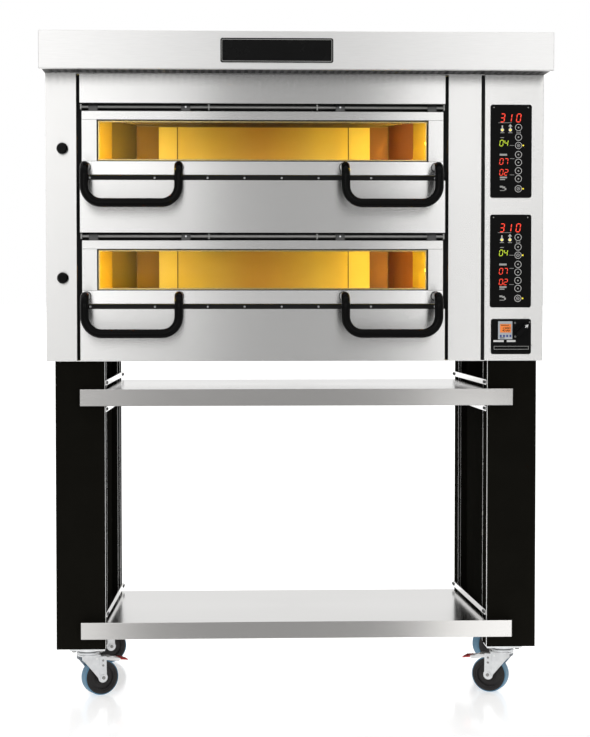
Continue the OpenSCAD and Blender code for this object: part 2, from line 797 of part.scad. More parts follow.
// Brake pedal over a wheel: a barrel on its pin, an arm and a bent-down tread
module brake_pedal(c)
    color([0.75, 0.10, 0.08]) caster_frame(c) {
        translate([pedal_x, 0, pedal_z]) rotate([90, 0, 0]) {
            cylinder(r = pedal_pin_r + 1.5, h = 2 * fork_gap - 1, center = true);
            cylinder(r = pedal_pin_r, h = 2 * fork_gap + 8, center = true);
        }
        translate([0, 19, 0]) rotate([90, 0, 0]) linear_extrude(38)
            polygon([[pedal_x, pedal_z - 2.5], [pedal_x, pedal_z + 1.5], [72, pedal_z + 1.5],
                [86, pedal_z - 5], [86, pedal_z - 8], [70, pedal_z - 2.5]]);
        translate([0, 22, 0]) rotate([90, 0, 0]) linear_extrude(44)
            polygon([[84, pedal_z - 4], [118, pedal_z - 8], [120, pedal_z - 12],
                [84, pedal_z - 8]]);
    }

hood_crown();
hood_pan();
flue_collar();
name_plate();
left_side_cover();
right_side_cover();
back_cover();
top_cover();
base_pan();
front_pillars();
control_tower();
door_lintel();
apron(1);  // upper_apron
apron(0);  // lower_apron
seal_strips();
screws();
hinge_rods();
chamber(1);  // upper_chamber
chamber(0);  // lower_chamber
hearth_stones();
heating_elements();
oven_lamps();
insulation();
exhaust_duct();
control_panels();
switch_panel();
timer_module();
contactor_rail();
cable_gland();
stand_legs();
stand_side_panels();
stand_rails();
shelf(upper_shelf_z);  // upper_shelf
shelf(lower_shelf_z);  // lower_shelf
caster_plates();
door_frame(1);  // upper_door_frame
door_glass(1);  // upper_door_glass
door_handles(1);  // upper_door_handles
door_frame(0);  // lower_door_frame
door_glass(0);  // lower_door_glass
door_handles(0);  // lower_door_handles
damper_knob(1);  // upper_damper_knob
damper_slide(1);  // upper_damper_slide
damper_knob(0);  // lower_damper_knob
damper_slide(0);  // lower_damper_slide
main_switch_knob();
fork(FL);  // front_left_fork
wheel(FL);  // front_left_wheel
tyre(FL);  // front_left_tyre
brake_pedal(FL);  // front_left_brake_pedal
fork(FR);  // front_right_fork
wheel(FR);  // front_right_wheel
tyre(FR);  // front_right_tyre
brake_pedal(FR);  // front_right_brake_pedal
fork(RL);  // rear_left_fork
wheel(RL);  // rear_left_wheel
tyre(RL);  // rear_left_tyre
fork(RR);  // rear_right_fork
wheel(RR);  // rear_right_wheel
tyre(RR);  // rear_right_tyre
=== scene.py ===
"""Looks of a two-deck pizza oven on a castor stand: finishes, fine detail and studio.

Units are metres, apart from the numbers beside MM and the points of profiles, which are
millimetres. Every place on the oven is worked out from the boxes and joints of its CAD.
"""
import json
import math

import bmesh
import bpy
from mathutils import Matrix, Vector


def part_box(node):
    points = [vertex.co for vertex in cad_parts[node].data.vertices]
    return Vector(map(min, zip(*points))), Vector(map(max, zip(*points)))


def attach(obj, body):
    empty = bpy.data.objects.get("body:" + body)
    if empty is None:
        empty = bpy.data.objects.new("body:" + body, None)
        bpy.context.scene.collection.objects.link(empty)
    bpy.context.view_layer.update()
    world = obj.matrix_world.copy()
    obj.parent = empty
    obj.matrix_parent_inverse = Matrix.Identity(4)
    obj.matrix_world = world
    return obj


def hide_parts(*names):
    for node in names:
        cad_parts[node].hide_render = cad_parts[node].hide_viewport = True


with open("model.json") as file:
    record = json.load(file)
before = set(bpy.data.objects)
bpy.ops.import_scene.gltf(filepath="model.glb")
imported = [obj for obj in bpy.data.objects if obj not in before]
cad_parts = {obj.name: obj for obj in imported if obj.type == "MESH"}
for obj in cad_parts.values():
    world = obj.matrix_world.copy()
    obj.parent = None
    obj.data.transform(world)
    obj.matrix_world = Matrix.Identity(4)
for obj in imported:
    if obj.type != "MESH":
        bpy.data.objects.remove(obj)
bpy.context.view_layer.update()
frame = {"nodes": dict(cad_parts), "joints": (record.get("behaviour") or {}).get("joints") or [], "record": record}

MM = 0.001
DECKS = ("lower", "upper")
SIDES = (-1, 1)
CASTORS = ("front_left", "front_right", "rear_left", "rear_right")
NODES = frame["nodes"]


class Box:
    """The box of a CAD node, with a name for each of its six sides."""

    def __init__(self, node):
        low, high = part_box(node)
        self.x0, self.y0, self.z0 = low
        self.x1, self.y1, self.z1 = high
        self.mid_x, self.mid_y, self.mid_z = (low + high) / 2


# ---- Node materials ----

class Shader:
    """A new material with a Principled shader, and a short way to add nodes to it."""

    def __init__(self, name, **constants):
        self.material = bpy.data.materials.new(name)
        self.material.use_nodes = True
        self.tree = self.material.node_tree
        self.surface = self.tree.nodes["Principled BSDF"]
        self.coords = self.tree.nodes.new("ShaderNodeTexCoord").outputs["Object"]
        for socket, value in constants.items():
            self.surface.inputs[socket.replace("_", " ")].default_value = value

    def node(self, kind, inputs=None, **settings):
        made = self.tree.nodes.new("ShaderNode" + kind)
        for key, value in settings.items():
            setattr(made, key, value)
        for key, value in (inputs or {}).items():
            self.put(made.inputs[key], value)
        return made

    def put(self, socket, value):
        if isinstance(value, bpy.types.NodeSocket):
            self.tree.links.new(value, socket)
        else:
            socket.default_value = value

    def feed(self, socket, value):
        self.put(self.surface.inputs[socket], value)

    def noise(self, scale, detail=2.0, stretch=(1, 1, 1), roughness=0.5):
        """Noise in object space; its outcome lies mostly between 0.3 and 0.7."""
        spread = self.node("Mapping", {"Vector": self.coords, "Scale": stretch})
        return self.node("TexNoise", {"Vector": spread.outputs[0], "Scale": scale,
                                      "Detail": detail, "Roughness": roughness}).outputs[0]

    def mix(self, factor, base, colour, blend="MIX"):
        """Lays a colour over the base, as strongly as the factor says."""
        made = self.node("Mix", {"Factor": factor}, data_type="RGBA", blend_type=blend)
        self.put(made.inputs[6], base)
        made.inputs[7].default_value = (*colour, 1)
        return made.outputs[2]

    def range(self, value, low, high, from_low=0.3, from_high=0.7):
        return self.node("MapRange", {"Value": value, "From Min": from_low,
                                      "From Max": from_high, "To Min": low, "To Max": high}).outputs[0]

    def tint(self, value, dark, light):
        ramp = self.node("ValToRGB", {"Fac": value})
        for stop, colour in zip(ramp.color_ramp.elements, (dark, light)):
            stop.color = (*colour, 1)
        return ramp.outputs[0]

    def bump(self, height, strength, distance):
        made = self.node("Bump", {"Height": height, "Strength": strength, "Distance": distance * MM})
        self.feed("Normal", made.outputs[0])


def scaled(tone, factor):
    return [c * factor for c in tone]


def brushed_steel(name, tone, rough, anisotropic):
    """Brushed sheet: streaks along the grain, slow tone drift and faint handling marks."""
    s = Shader(name, Metallic=1.0, Anisotropic=anisotropic, Anisotropic_Rotation=0.25)
    streaks = s.noise(26, 3, stretch=(1, 60, 60))
    drift = s.noise(2.2, 2)
    marks = s.noise(9, 5, roughness=0.7)
    base = s.tint(s.range(streaks, 0, 1), scaled(tone, 0.93), tone)
    s.feed("Base Color", s.mix(s.range(drift, 0.0, 0.05), base, (0.78, 0.76, 0.74), "MULTIPLY"))
    worn = s.node("Math", {0: s.range(streaks, -0.008, 0.008),
                           1: s.range(marks, rough - 0.004, rough + 0.008)})
    s.feed("Roughness", worn.outputs[0])
    s.feed("Tangent", s.node("Tangent", direction_type="RADIAL", axis="Z").outputs[0])
    s.bump(streaks, 0.002, 0.1)
    return s.material


def plain_steel(name, tone, rough, pit=0.12, scale=60):
    """Zinc plate or dull sheet: a mottled tone with a fine spangle."""
    s = Shader(name, Metallic=1.0)
    spangle = s.noise(scale, 4, roughness=0.6)
    grime = s.noise(7, 4)
    s.feed("Base Color", s.tint(s.range(spangle, 0, 1), scaled(tone, 0.86), tone))
    s.feed("Roughness", s.range(grime, rough - 0.04, rough + 0.08))
    s.bump(spangle, pit, 0.15)
    return s.material


def coated(name, tone, rough, gloss, scale=260):
    """Paint, ink or moulded plastic: orange peel, faint dust in the tone and worn gloss."""
    s = Shader(name, Specular_IOR_Level=gloss)
    peel = s.noise(scale, 2)
    dust = s.noise(11, 5, roughness=0.65)
    s.feed("Base Color", s.tint(s.range(dust, 0, 1), scaled(tone, 0.85), tone))
    s.feed("Roughness", s.range(dust, rough - 0.03, rough + 0.05))
    s.bump(peel, 0.05, 0.1)
    return s.material


def glowing(name, colour, strength):
    """A lit segment or lens: a little uneven from one end to the other."""
    s = Shader(name, Roughness=0.35, Emission_Strength=strength)
    uneven = s.noise(300, 1)
    s.feed("Base Color", s.tint(uneven, scaled(colour, 0.5), colour))
    s.feed("Emission Color", s.tint(uneven, scaled(colour, 0.9), colour))
    return s.material


def liner(name, tone, warm, middle=None):
    """Chamber sheet, heat-tinted in bands by baking. Where middle is given, painted shade darkens it about x =
    middle, away from the lamps.
    """
    s = Shader(name, Metallic=0.75)
    stain = s.noise(5, 4, (1, 1, 2.5), 0.6)
    streaks = s.noise(20, 3, (1, 1, 0.05))
    base = s.tint(s.range(stain, 0, 1), warm, tone)
    if middle is not None:
        # Painted shade: darker towards x = middle, where the lamp light falls off.
        x = s.node("SeparateXYZ", {"Vector": s.coords}).outputs[0]
        off = s.node("Math", {0: x, 1: middle}, operation="SUBTRACT").outputs[0]
        away = s.node("Math", {0: off}, operation="ABSOLUTE").outputs[0]
        middle_painted_shade = s.range(away, 1.0, 0.0, 0.02, 0.18)
        base = s.mix(middle_painted_shade, base, (0.86, 0.70, 0.70), "MULTIPLY")
    s.feed("Base Color", base)
    s.feed("Roughness", s.range(streaks, 0.34, 0.46))
    s.bump(streaks, 0.05, 0.3)
    return s.material


def stone(name, tone):
    """Cordierite slab: speckled, porous and a little scorched."""
    s = Shader(name, Roughness=0.9)
    specks = s.noise(420, 3, roughness=0.7)
    scorch = s.noise(7, 4)
    base = s.tint(s.range(specks, 0, 1), scaled(tone, 0.7), tone)
    s.feed("Base Color", s.mix(s.range(scorch, 0.0, 0.45), base, (0.16, 0.11, 0.07)))
    s.bump(specks, 0.4, 0.6)
    return s.material


def wool(name, tone):
    """Mineral wool: long fibres that lie mostly along X."""
    s = Shader(name, Roughness=1.0, Sheen_Weight=0.4)
    fibres = s.noise(180, 5, (0.25, 1, 1), 0.7)
    s.feed("Base Color", s.tint(s.range(fibres, 0, 1), scaled(tone, 0.6), tone))
    s.bump(fibres, 0.8, 2.0)
    return s.material


def tinted_glass(name, colour):
    """Clear pane with a thin uneven film. The low IOR keeps its mirror image faint."""
    s = Shader(name, Roughness=0.02, Transmission_Weight=1.0, IOR=1.15)
    film = s.noise(6, 3)
    s.feed("Base Color", s.tint(film, scaled(colour, 0.97), colour))
    return s.material


def rubber(name, tone, rough, grain):
    """Polyurethane or moulded core: matt, finely pitted and scuffed lighter in places."""
    s = Shader(name, Specular_IOR_Level=0.35)
    pits = s.noise(grain, 3, roughness=0.6)
    scuff = s.noise(14, 5, roughness=0.7)
    light = [min(1.0, c * 1.25 + 0.02) for c in tone]
    s.feed("Base Color", s.tint(s.range(scuff, 0, 1, 0.45, 0.8), tone, light))
    s.feed("Roughness", s.range(scuff, rough - 0.05, rough + 0.1))
    s.bump(pits, 0.15, 0.2)
    return s.material


FINISH = {
    "stainless": brushed_steel("brushed_front", (0.80, 0.795, 0.785), 0.23, 0.95),
    "pillar": brushed_steel("brushed_pillar", (0.72, 0.715, 0.705), 0.23, 0.95),
    "cover": brushed_steel("brushed_cover", (0.56, 0.555, 0.545), 0.35, 0.6),
    "crown": brushed_steel("brushed_hood", (0.92, 0.915, 0.905), 0.36, 0.78),
    "rail": brushed_steel("brushed_rail", (0.98, 0.975, 0.965), 0.25, 0.95),
    "shelf": brushed_steel("polished_shelf", (0.61, 0.60, 0.585), 0.16, 0.4),
    # Painted shade: the hood's underside pan is made near black to stand for the shade under the hood.
    "pan": plain_steel("pan_painted_shade", (0.035, 0.035, 0.035), 0.5),
    "zinc": plain_steel("zinc_plate", (0.80, 0.81, 0.82), 0.30),
    "dull_zinc": plain_steel("dull_zinc", (0.34, 0.34, 0.33), 0.42),
    "pedal": plain_steel("pedal_zinc", (0.92, 0.92, 0.92), 0.42),
    "badge": coated("badge_black", (0.005, 0.005, 0.005), 0.25, 0.08),
    "seal": coated("seal_black", (0.009, 0.009, 0.009), 0.45, 0.15),
    "panel": coated("membrane_black", (0.005, 0.005, 0.005), 0.34, 0.06),
    "stand": coated("stand_enamel", (0.0092, 0.0086, 0.0068), 0.5, 0.0),
    "stand_inner": coated("stand_shade", (0.0108, 0.0104, 0.0088), 0.6, 0.0),
    "handle": coated("handle_black", (0.004, 0.004, 0.004), 0.18, 0.07, scale=500),
    "case": coated("timer_grey", (0.62, 0.66, 0.70), 0.4, 0.4),
    "electric": coated("contactor_grey", (0.20, 0.22, 0.24), 0.5, 0.4),
    "gland": coated("gland_black", (0.02, 0.02, 0.022), 0.45, 0.4),
    "red": coated("pedal_red", (0.55, 0.035, 0.03), 0.4, 0.4),
    "core": rubber("core_plastic", (0.013, 0.011, 0.011), 0.5, 300),
    "tyre": rubber("blue_tyre", (0.095, 0.220, 0.330), 0.45, 500),
    # The chamber's liner, with painted shade towards the middle between the lamps.
    "liner": liner("chamber_liner", (0.98, 0.84, 0.31), (0.92, 0.76, 0.26),
                   Box("oven_lamps").mid_x),
    # Copies of the liner that paint light and shade on the chamber's sheets. The darker one for the front corners
    # is toned down for the strong lamp light beside it, the bright one is a painted reflection, and the brown,
    # olive and red ones are painted shade. The dark red one is painted shade on the back wall and plain colour on
    # the element hanger.
    "liner_lamp": liner("liner_lamp", (0.48, 0.40, 0.11), (0.44, 0.33, 0.08)),
    "liner_painted_reflection": liner("liner_painted_reflection", (0.95, 0.86, 0.40), (0.92, 0.80, 0.34)),
    "liner_brown_painted_shade": liner("liner_brown_painted_shade", (0.18, 0.115, 0.038), (0.155, 0.09, 0.03)),
    "liner_olive_painted_shade": liner("liner_olive_painted_shade", (0.42, 0.42, 0.20), (0.44, 0.40, 0.17)),
    # The ceiling is near black, with a red-orange strip along its front.
    "ceiling": coated("ceiling_near_black", (0.018, 0.012, 0.005), 0.9, 0.0),
    "ceiling_edge": coated("ceiling_edge", (0.20, 0.055, 0.012), 0.9, 0.0),
    "liner_red_painted_shade": liner("liner_red_painted_shade", (0.56, 0.22, 0.16), (0.48, 0.19, 0.13)),
    "liner_dark_red": liner("liner_dark_red", (0.16, 0.075, 0.06), (0.14, 0.065, 0.05)),
    "joint": coated("joint_shadow", (0.16, 0.16, 0.16), 0.6, 0.2),
    "screw_dark": plain_steel("screw_dark", (0.10, 0.10, 0.10), 0.35),
    # Painted highlight: bright strips that stand for the light caught on the legs' edges.
    "painted_edge_highlight": plain_steel("painted_edge_highlight", (0.9, 0.9, 0.89), 0.25),
    "stone": stone("hearth_stone", (0.62, 0.52, 0.38)),
    "heater": plain_steel("heater_sheath", (0.20, 0.16, 0.13), 0.5, 0.2, 120),
    "lamp": glowing("lamp_lens", (1.0, 0.50, 0.10), 1.6),
    "wool": wool("mineral_wool", (0.72, 0.64, 0.36)),
    "glass": tinted_glass("door_glass", (1.0, 0.90, 0.62)),
    "red_light": glowing("digit_red", (1.0, 0.055, 0.022), 1.0),
    "green_light": glowing("digit_green", (0.56, 0.72, 0.03), 0.9),
    "orange_light": glowing("clock_orange", (0.78, 0.20, 0.03), 0.62),
    "yellow_light": glowing("signal_yellow", (0.85, 0.70, 0.03), 1.1),
    "white_ink": coated("white_ink", (0.92, 0.92, 0.90), 0.5, 0.3),
    "grey_ink": coated("grey_ink", (0.52, 0.52, 0.50), 0.5, 0.3),
    "silver_ink": coated("silver_ink", (0.48, 0.48, 0.46), 0.35, 0.4),
    "blue_key": coated("blue_key", (0.06, 0.09, 0.34), 0.4, 0.3),
}
# Slots whose finish has another name than the slot
SLOT_FINISH = {
    "black_seal": "seal", "oven_liner": "liner", "hearth_stone": "stone",
    "lamp_glass": "lamp", "panel_black": "panel", "timer_case": "case",
    "electric_case": "electric", "stand_black": "stand", "door_glass": "glass",
    "handle_black": "handle", "wheel_core": "core", "blue_tyre": "tyre",
}
# Nodes whose finish differs from that of their slot
NODE_FINISH = {
    "front_pillars": "pillar", "control_tower": "pillar", "left_side_cover": "cover",
    "right_side_cover": "cover", "back_cover": "cover", "hood_crown": "crown",
    "hood_pan": "pan", "upper_shelf": "shelf", "lower_shelf": "shelf",
    "hinge_rods": "dull_zinc", "cable_gland": "gland", "stand_side_panels": "stand_inner",
}
# Width in mm of the rounding of each node's edges
ROUNDING = {
    1.5: ("hood_crown",),
    1.2: ("stand_legs",),
    1.0: ("control_tower", "door_lintel", "upper_apron", "lower_apron", "upper_door_frame",
          "lower_door_frame", "upper_shelf", "lower_shelf", "hearth_stones"),
    0.8: ("control_panels", "switch_panel", "main_switch_knob", "upper_damper_knob",
          "lower_damper_knob", "stand_rails", "caster_plates", "contactor_rail"),
    0.6: ("timer_module", "stand_side_panels", "front_left_brake_pedal",
          "front_right_brake_pedal"),
    0.5: ("flue_collar",),
    0.4: ("cable_gland",),
}


# ---- Pieces ----

SHARP_ANGLE, BEVEL_ANGLE = math.radians(35), math.radians(50)


def add_object(name, data):
    made = bpy.data.objects.new(name, data)
    bpy.context.scene.collection.objects.link(made)
    return made


class Piece:
    """Mesh of one visible detail, gathered shape by shape."""

    def __init__(self):
        self.bm = bmesh.new()

    def slab(self, x0, x1, y0, y1, z0, z1):
        size = Matrix.Diagonal((x1 - x0, y1 - y0, z1 - z0, 1))
        place = Matrix.Translation(((x0 + x1) / 2, (y0 + y1) / 2, (z0 + z1) / 2))
        bmesh.ops.create_cube(self.bm, size=1, matrix=place @ size)

    def plate(self, outline, y_front, y_back):
        """A flat shape given by (x, z) points, between two depths."""
        self.loft([[(x, y_front, z) for x, z in outline], [(x, y_back, z) for x, z in outline]])

    def loft(self, sections, closed=False):
        """Skins a row of closed outlines that have the same number of points."""
        rows = [[self.bm.verts.new(p) for p in section] for section in sections]
        count = len(rows[0])
        pairs = list(zip(rows, rows[1:] + rows[:1])) if closed else zip(rows, rows[1:])
        for a, b in pairs:
            for i in range(count):
                j = (i + 1) % count
                self.bm.faces.new((a[i], a[j], b[j], b[i]))
        if not closed:
            self.bm.faces.new(rows[0][::-1])
            self.bm.faces.new(rows[-1])

    def lathe(self, profile, centre, axis, steps, base=0.0, out=1):
        """Turns (radius, height) points in mm about an axis through centre.

        Heights are counted from base along the axis, backwards where out is -1.
        """
        turn = {"x": lambda r, a, t: (a, r * math.cos(t), r * math.sin(t)),
                "y": lambda r, a, t: (r * math.cos(t), a, r * math.sin(t)),
                "z": lambda r, a, t: (r * math.cos(t), r * math.sin(t), a)}[axis]
        self.loft([[Vector(centre) + Vector(turn(r * MM, base + out * h * MM,
                                                 2 * math.pi * i / steps))
                    for i in range(steps)] for r, h in profile])

    def ring(self, centre, inner, outer, y_front, y_back, steps=28):
        """A flat ring about an (x, z) point, between two depths."""
        x, z = centre
        profile = [(inner, y_front), (outer, y_front), (outer, y_back), (inner, y_back)]
        self.loft([[(x + r * math.cos(t), y, z + r * math.sin(t)) for r, y in profile]
                   for t in (2 * math.pi * i / steps for i in range(steps))], closed=True)

    def frame(self, x0, x1, z0, z1, width, y_front, y_back):
        """A rectangular band of that width, inside the given outline."""
        corners = [(x0, z0, 1, 1), (x1, z0, -1, 1), (x1, z1, -1, -1), (x0, z1, 1, -1)]
        self.loft([[(x, y_front, z), (x + dx * width, y_front, z + dz * width),
                    (x + dx * width, y_back, z + dz * width), (x, y_back, z)]
                   for x, z, dx, dz in corners], closed=True)

    def finish(self, name, body, finish, slot, bevel=0.0, turn=None):
        """Makes the object, lets it ride on its body and gives it its finish."""
        bmesh.ops.recalc_face_normals(self.bm, faces=self.bm.faces)
        if turn is not None:
            self.bm.transform(turn)
        mesh = bpy.data.meshes.new(name)
        self.bm.to_mesh(mesh)
        self.bm.free()
        made = add_object(name, mesh)
        mesh.materials.append(FINISH[finish])
        if bevel:
            round_edges(made, bevel)
        for face in mesh.polygons:
            face.use_smooth = True
        mesh.set_sharp_from_angle(angle=SHARP_ANGLE)
        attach(made, body)
        return made


def round_edges(made, width):
    weld = made.modifiers.new("weld", "WELD")
    weld.merge_threshold = 0.01 * MM
    bevel = made.modifiers.new("bevel", "BEVEL")
    bevel.width = width
    bevel.segments = 2
    bevel.limit_method = "ANGLE"
    bevel.angle_limit = BEVEL_ANGLE
    normals = made.modifiers.new("normals", "WEIGHTED_NORMAL")
    normals.keep_sharp = True


def finish_nodes():
    """Gives each CAD node the finish of its slot, and round edges where they show."""
    slots = {p["node"]: p["material_slot"] for p in frame["record"]["subparts"]}
    for name, node in NODES.items():
        finish = NODE_FINISH.get(name, SLOT_FINISH.get(slots[name], slots[name]))
        node.data.materials.clear()
        node.data.materials.append(FINISH[finish])
    for width, names in ROUNDING.items():
        for name in names:
            round_edges(NODES[name], width * MM)


finish_nodes()


# ---- Doors and front ----

LAMPS = Box("oven_lamps")
LAMP_DEPTH = 40 * MM
MID_X = LAMPS.mid_x
INNER_HALF = (LAMPS.x1 - LAMPS.x0) / 2 - LAMP_DEPTH
GLASS_LIP = 8.5 * MM
CHAMBER_UNDER_GLASS = 25.5 * MM
CHAMBER_HEIGHT = 174 * MM
# Hinge eyes: middles from that of the doors and half width, both in mm
HINGE_EYES = (-500, -228, 228, 500)
EYE_HALF = 13.3
EYE_DROP = 8.5 * MM


def spread(first, last, count):
    """Places at equal steps, with both ends."""
    return [first + i * (last - first) / (count - 1) for i in range(count)]


def disc(piece, x, z, radius, y_front, y_back, steps=20):
    piece.plate([(x + radius * math.cos(t), z + radius * math.sin(t))
                 for t in (2 * math.pi * i / steps for i in range(steps))], y_front, y_back)


def dress_door(deck):
    """Gasket, stile joints, rail skin, glazing bead and hinge eyes of one door."""
    body = f"{deck}_door"
    glass, leaf = Box(f"{deck}_door_glass"), Box(f"{deck}_door_frame")
    x0, x1 = glass.x0 + GLASS_LIP, glass.x1 - GLASS_LIP
    z0, z1 = glass.z0 + GLASS_LIP, glass.z1 - GLASS_LIP
    inset = 0.5 * MM

    gasket = Piece()
    gasket.frame(x0, x1, z0, z1, 2.4 * MM, leaf.y0 + 1.5 * MM, glass.y0 - 0.1 * MM)
    gasket.finish(f"{deck}_window_gasket", body, "seal", "black_seal")

    joints = Piece()
    for z in (z0, z1):
        for a, b in ((leaf.x0, x0), (x1, leaf.x1)):
            joints.slab(a + inset, b - inset, leaf.y0 - 0.05 * MM, leaf.y0 + 0.3 * MM,
                        z - 0.5 * MM, z + 0.5 * MM)
    joints.finish(f"{deck}_stile_joints", body, "joint", "black_seal")

    skin = Piece()
    skin.slab(leaf.x0 + inset, leaf.x1 - inset, leaf.y0 - 0.25 * MM, leaf.y0 + 0.1 * MM,
              leaf.z0 + inset, z0 - 0.7 * MM)
    skin.finish(f"{deck}_rail_skin", body, "rail", "stainless")

    bead = Piece()
    bead_width = 15 * MM
    bead.frame(glass.x0, glass.x1, glass.z0, glass.z1, bead_width, glass.y1 + 0.2 * MM,
               glass.y1 + 4 * MM)
    for x in spread(glass.x0 + 20 * MM, glass.x1 - 20 * MM, 9):
        for z in (glass.z0 + bead_width / 2, glass.z1 - bead_width / 2):
            disc(bead, x, z, 3.2 * MM, glass.y1 + 3.5 * MM, glass.y1 + 5.5 * MM, 12)
    bead.finish(f"{deck}_glazing_bead", body, "stainless", "stainless", 0.5 * MM)

    axis_z = leaf.z1 - EYE_DROP
    eyes, collars = Piece(), Piece()
    for x in HINGE_EYES[1:3]:
        eyes.lathe([(0.2, -0.2), (2.6, 0.1), (3.4, 2.2)], (MID_X + x * MM, 0, axis_z), "y",
                   14, leaf.y0)
    eyes.finish(f"{deck}_eye_screws", body, "zinc", "zinc")
    for x in HINGE_EYES:
        collars.lathe([(6, -EYE_HALF), (8.9, -EYE_HALF), (8.9, EYE_HALF), (6, EYE_HALF)],
                      (0, leaf.y0 + 10 * MM, axis_z), "x", 24, MID_X + x * MM)
        collars.slab(MID_X + (x - EYE_HALF - 0.1) * MM, MID_X + (x + EYE_HALF + 0.1) * MM,
                     leaf.y0 + 0.8 * MM, leaf.y0 + 1.4 * MM, leaf.z1 - 20.3 * MM, axis_z)
    collars.finish(f"{deck}_eye_collars", body, "screw_dark", "zinc", 0.4 * MM)

    cap = Piece()
    leaf_top = z1 + 23 * MM
    cap.slab(leaf.x0 + 3 * MM, leaf.x1 - 3 * MM, leaf.y0 + 3 * MM, leaf.y0 + 8 * MM,
             leaf_top - 1 * MM, leaf_top + 1.2 * MM)
    cap.finish(f"{deck}_top_bead", body, "seal", "black_seal")


def dress_front():
    """Dark sheets that paint the shade in the gaps of the front, and a rope seal round each chamber's mouth."""
    pillars, lintel = Box("front_pillars"), Box("door_lintel")
    door, flange_y = Box("upper_door_frame"), Box("upper_chamber").y0
    gaps = Piece()
    gap, tuck = 9.5 * MM, 4 * MM
    # Painted shade: dark sheets just in front of the chamber's flange, seen through the gaps.
    shade_y = flange_y - 0.9 * MM, flange_y - 0.3 * MM
    for x0, x1 in ((lintel.x0 - gap, door.x0 + tuck), (door.x1 - tuck, lintel.x1 + gap)):
        gaps.slab(x0 + 0.05 * MM, x1 - 0.05 * MM, *shade_y, pillars.z0 + 3 * MM, pillars.z1 - 3 * MM)
    for deck, over in (("lower", Box("upper_apron").z0), ("upper", lintel.z0)):
        leaf, glass = Box(f"{deck}_door_frame"), Box(f"{deck}_door_glass")
        gaps.slab(leaf.x0, leaf.x1, *shade_y, glass.z1 + 16 * MM, over)
    gaps.finish("gap_painted_shade", "oven", "seal", "black_seal")

    for deck in DECKS:
        floor = Box(f"{deck}_door_glass").z0 - CHAMBER_UNDER_GLASS
        rope = Piece()
        rope.frame(MID_X - INNER_HALF + 1 * MM, MID_X + INNER_HALF - 1 * MM, floor + 1 * MM,
                   floor + CHAMBER_HEIGHT - 1 * MM, 5 * MM, flange_y + 0.2 * MM, flange_y + 3 * MM)
        rope.finish(f"{deck}_rope_seal", "oven", "seal", "black_seal", 1 * MM)


# Left and right edge in mm from the middle, and finish of each sheet of a back wall. The finishes paint light and
# shade: the brown and dark red end sheets are painted shade, the bright sheets a painted reflection.
BACK_SHEETS = ((-388, -318, "liner_brown_painted_shade"), (-318, -259, "liner_painted_reflection"),
               (-259, 281, "liner"), (281, 349, "liner_painted_reflection"),
               (349, 408, "liner_dark_red"))
SEAM = 1.6  # mm
EDGE_DEPTH = 150 * MM


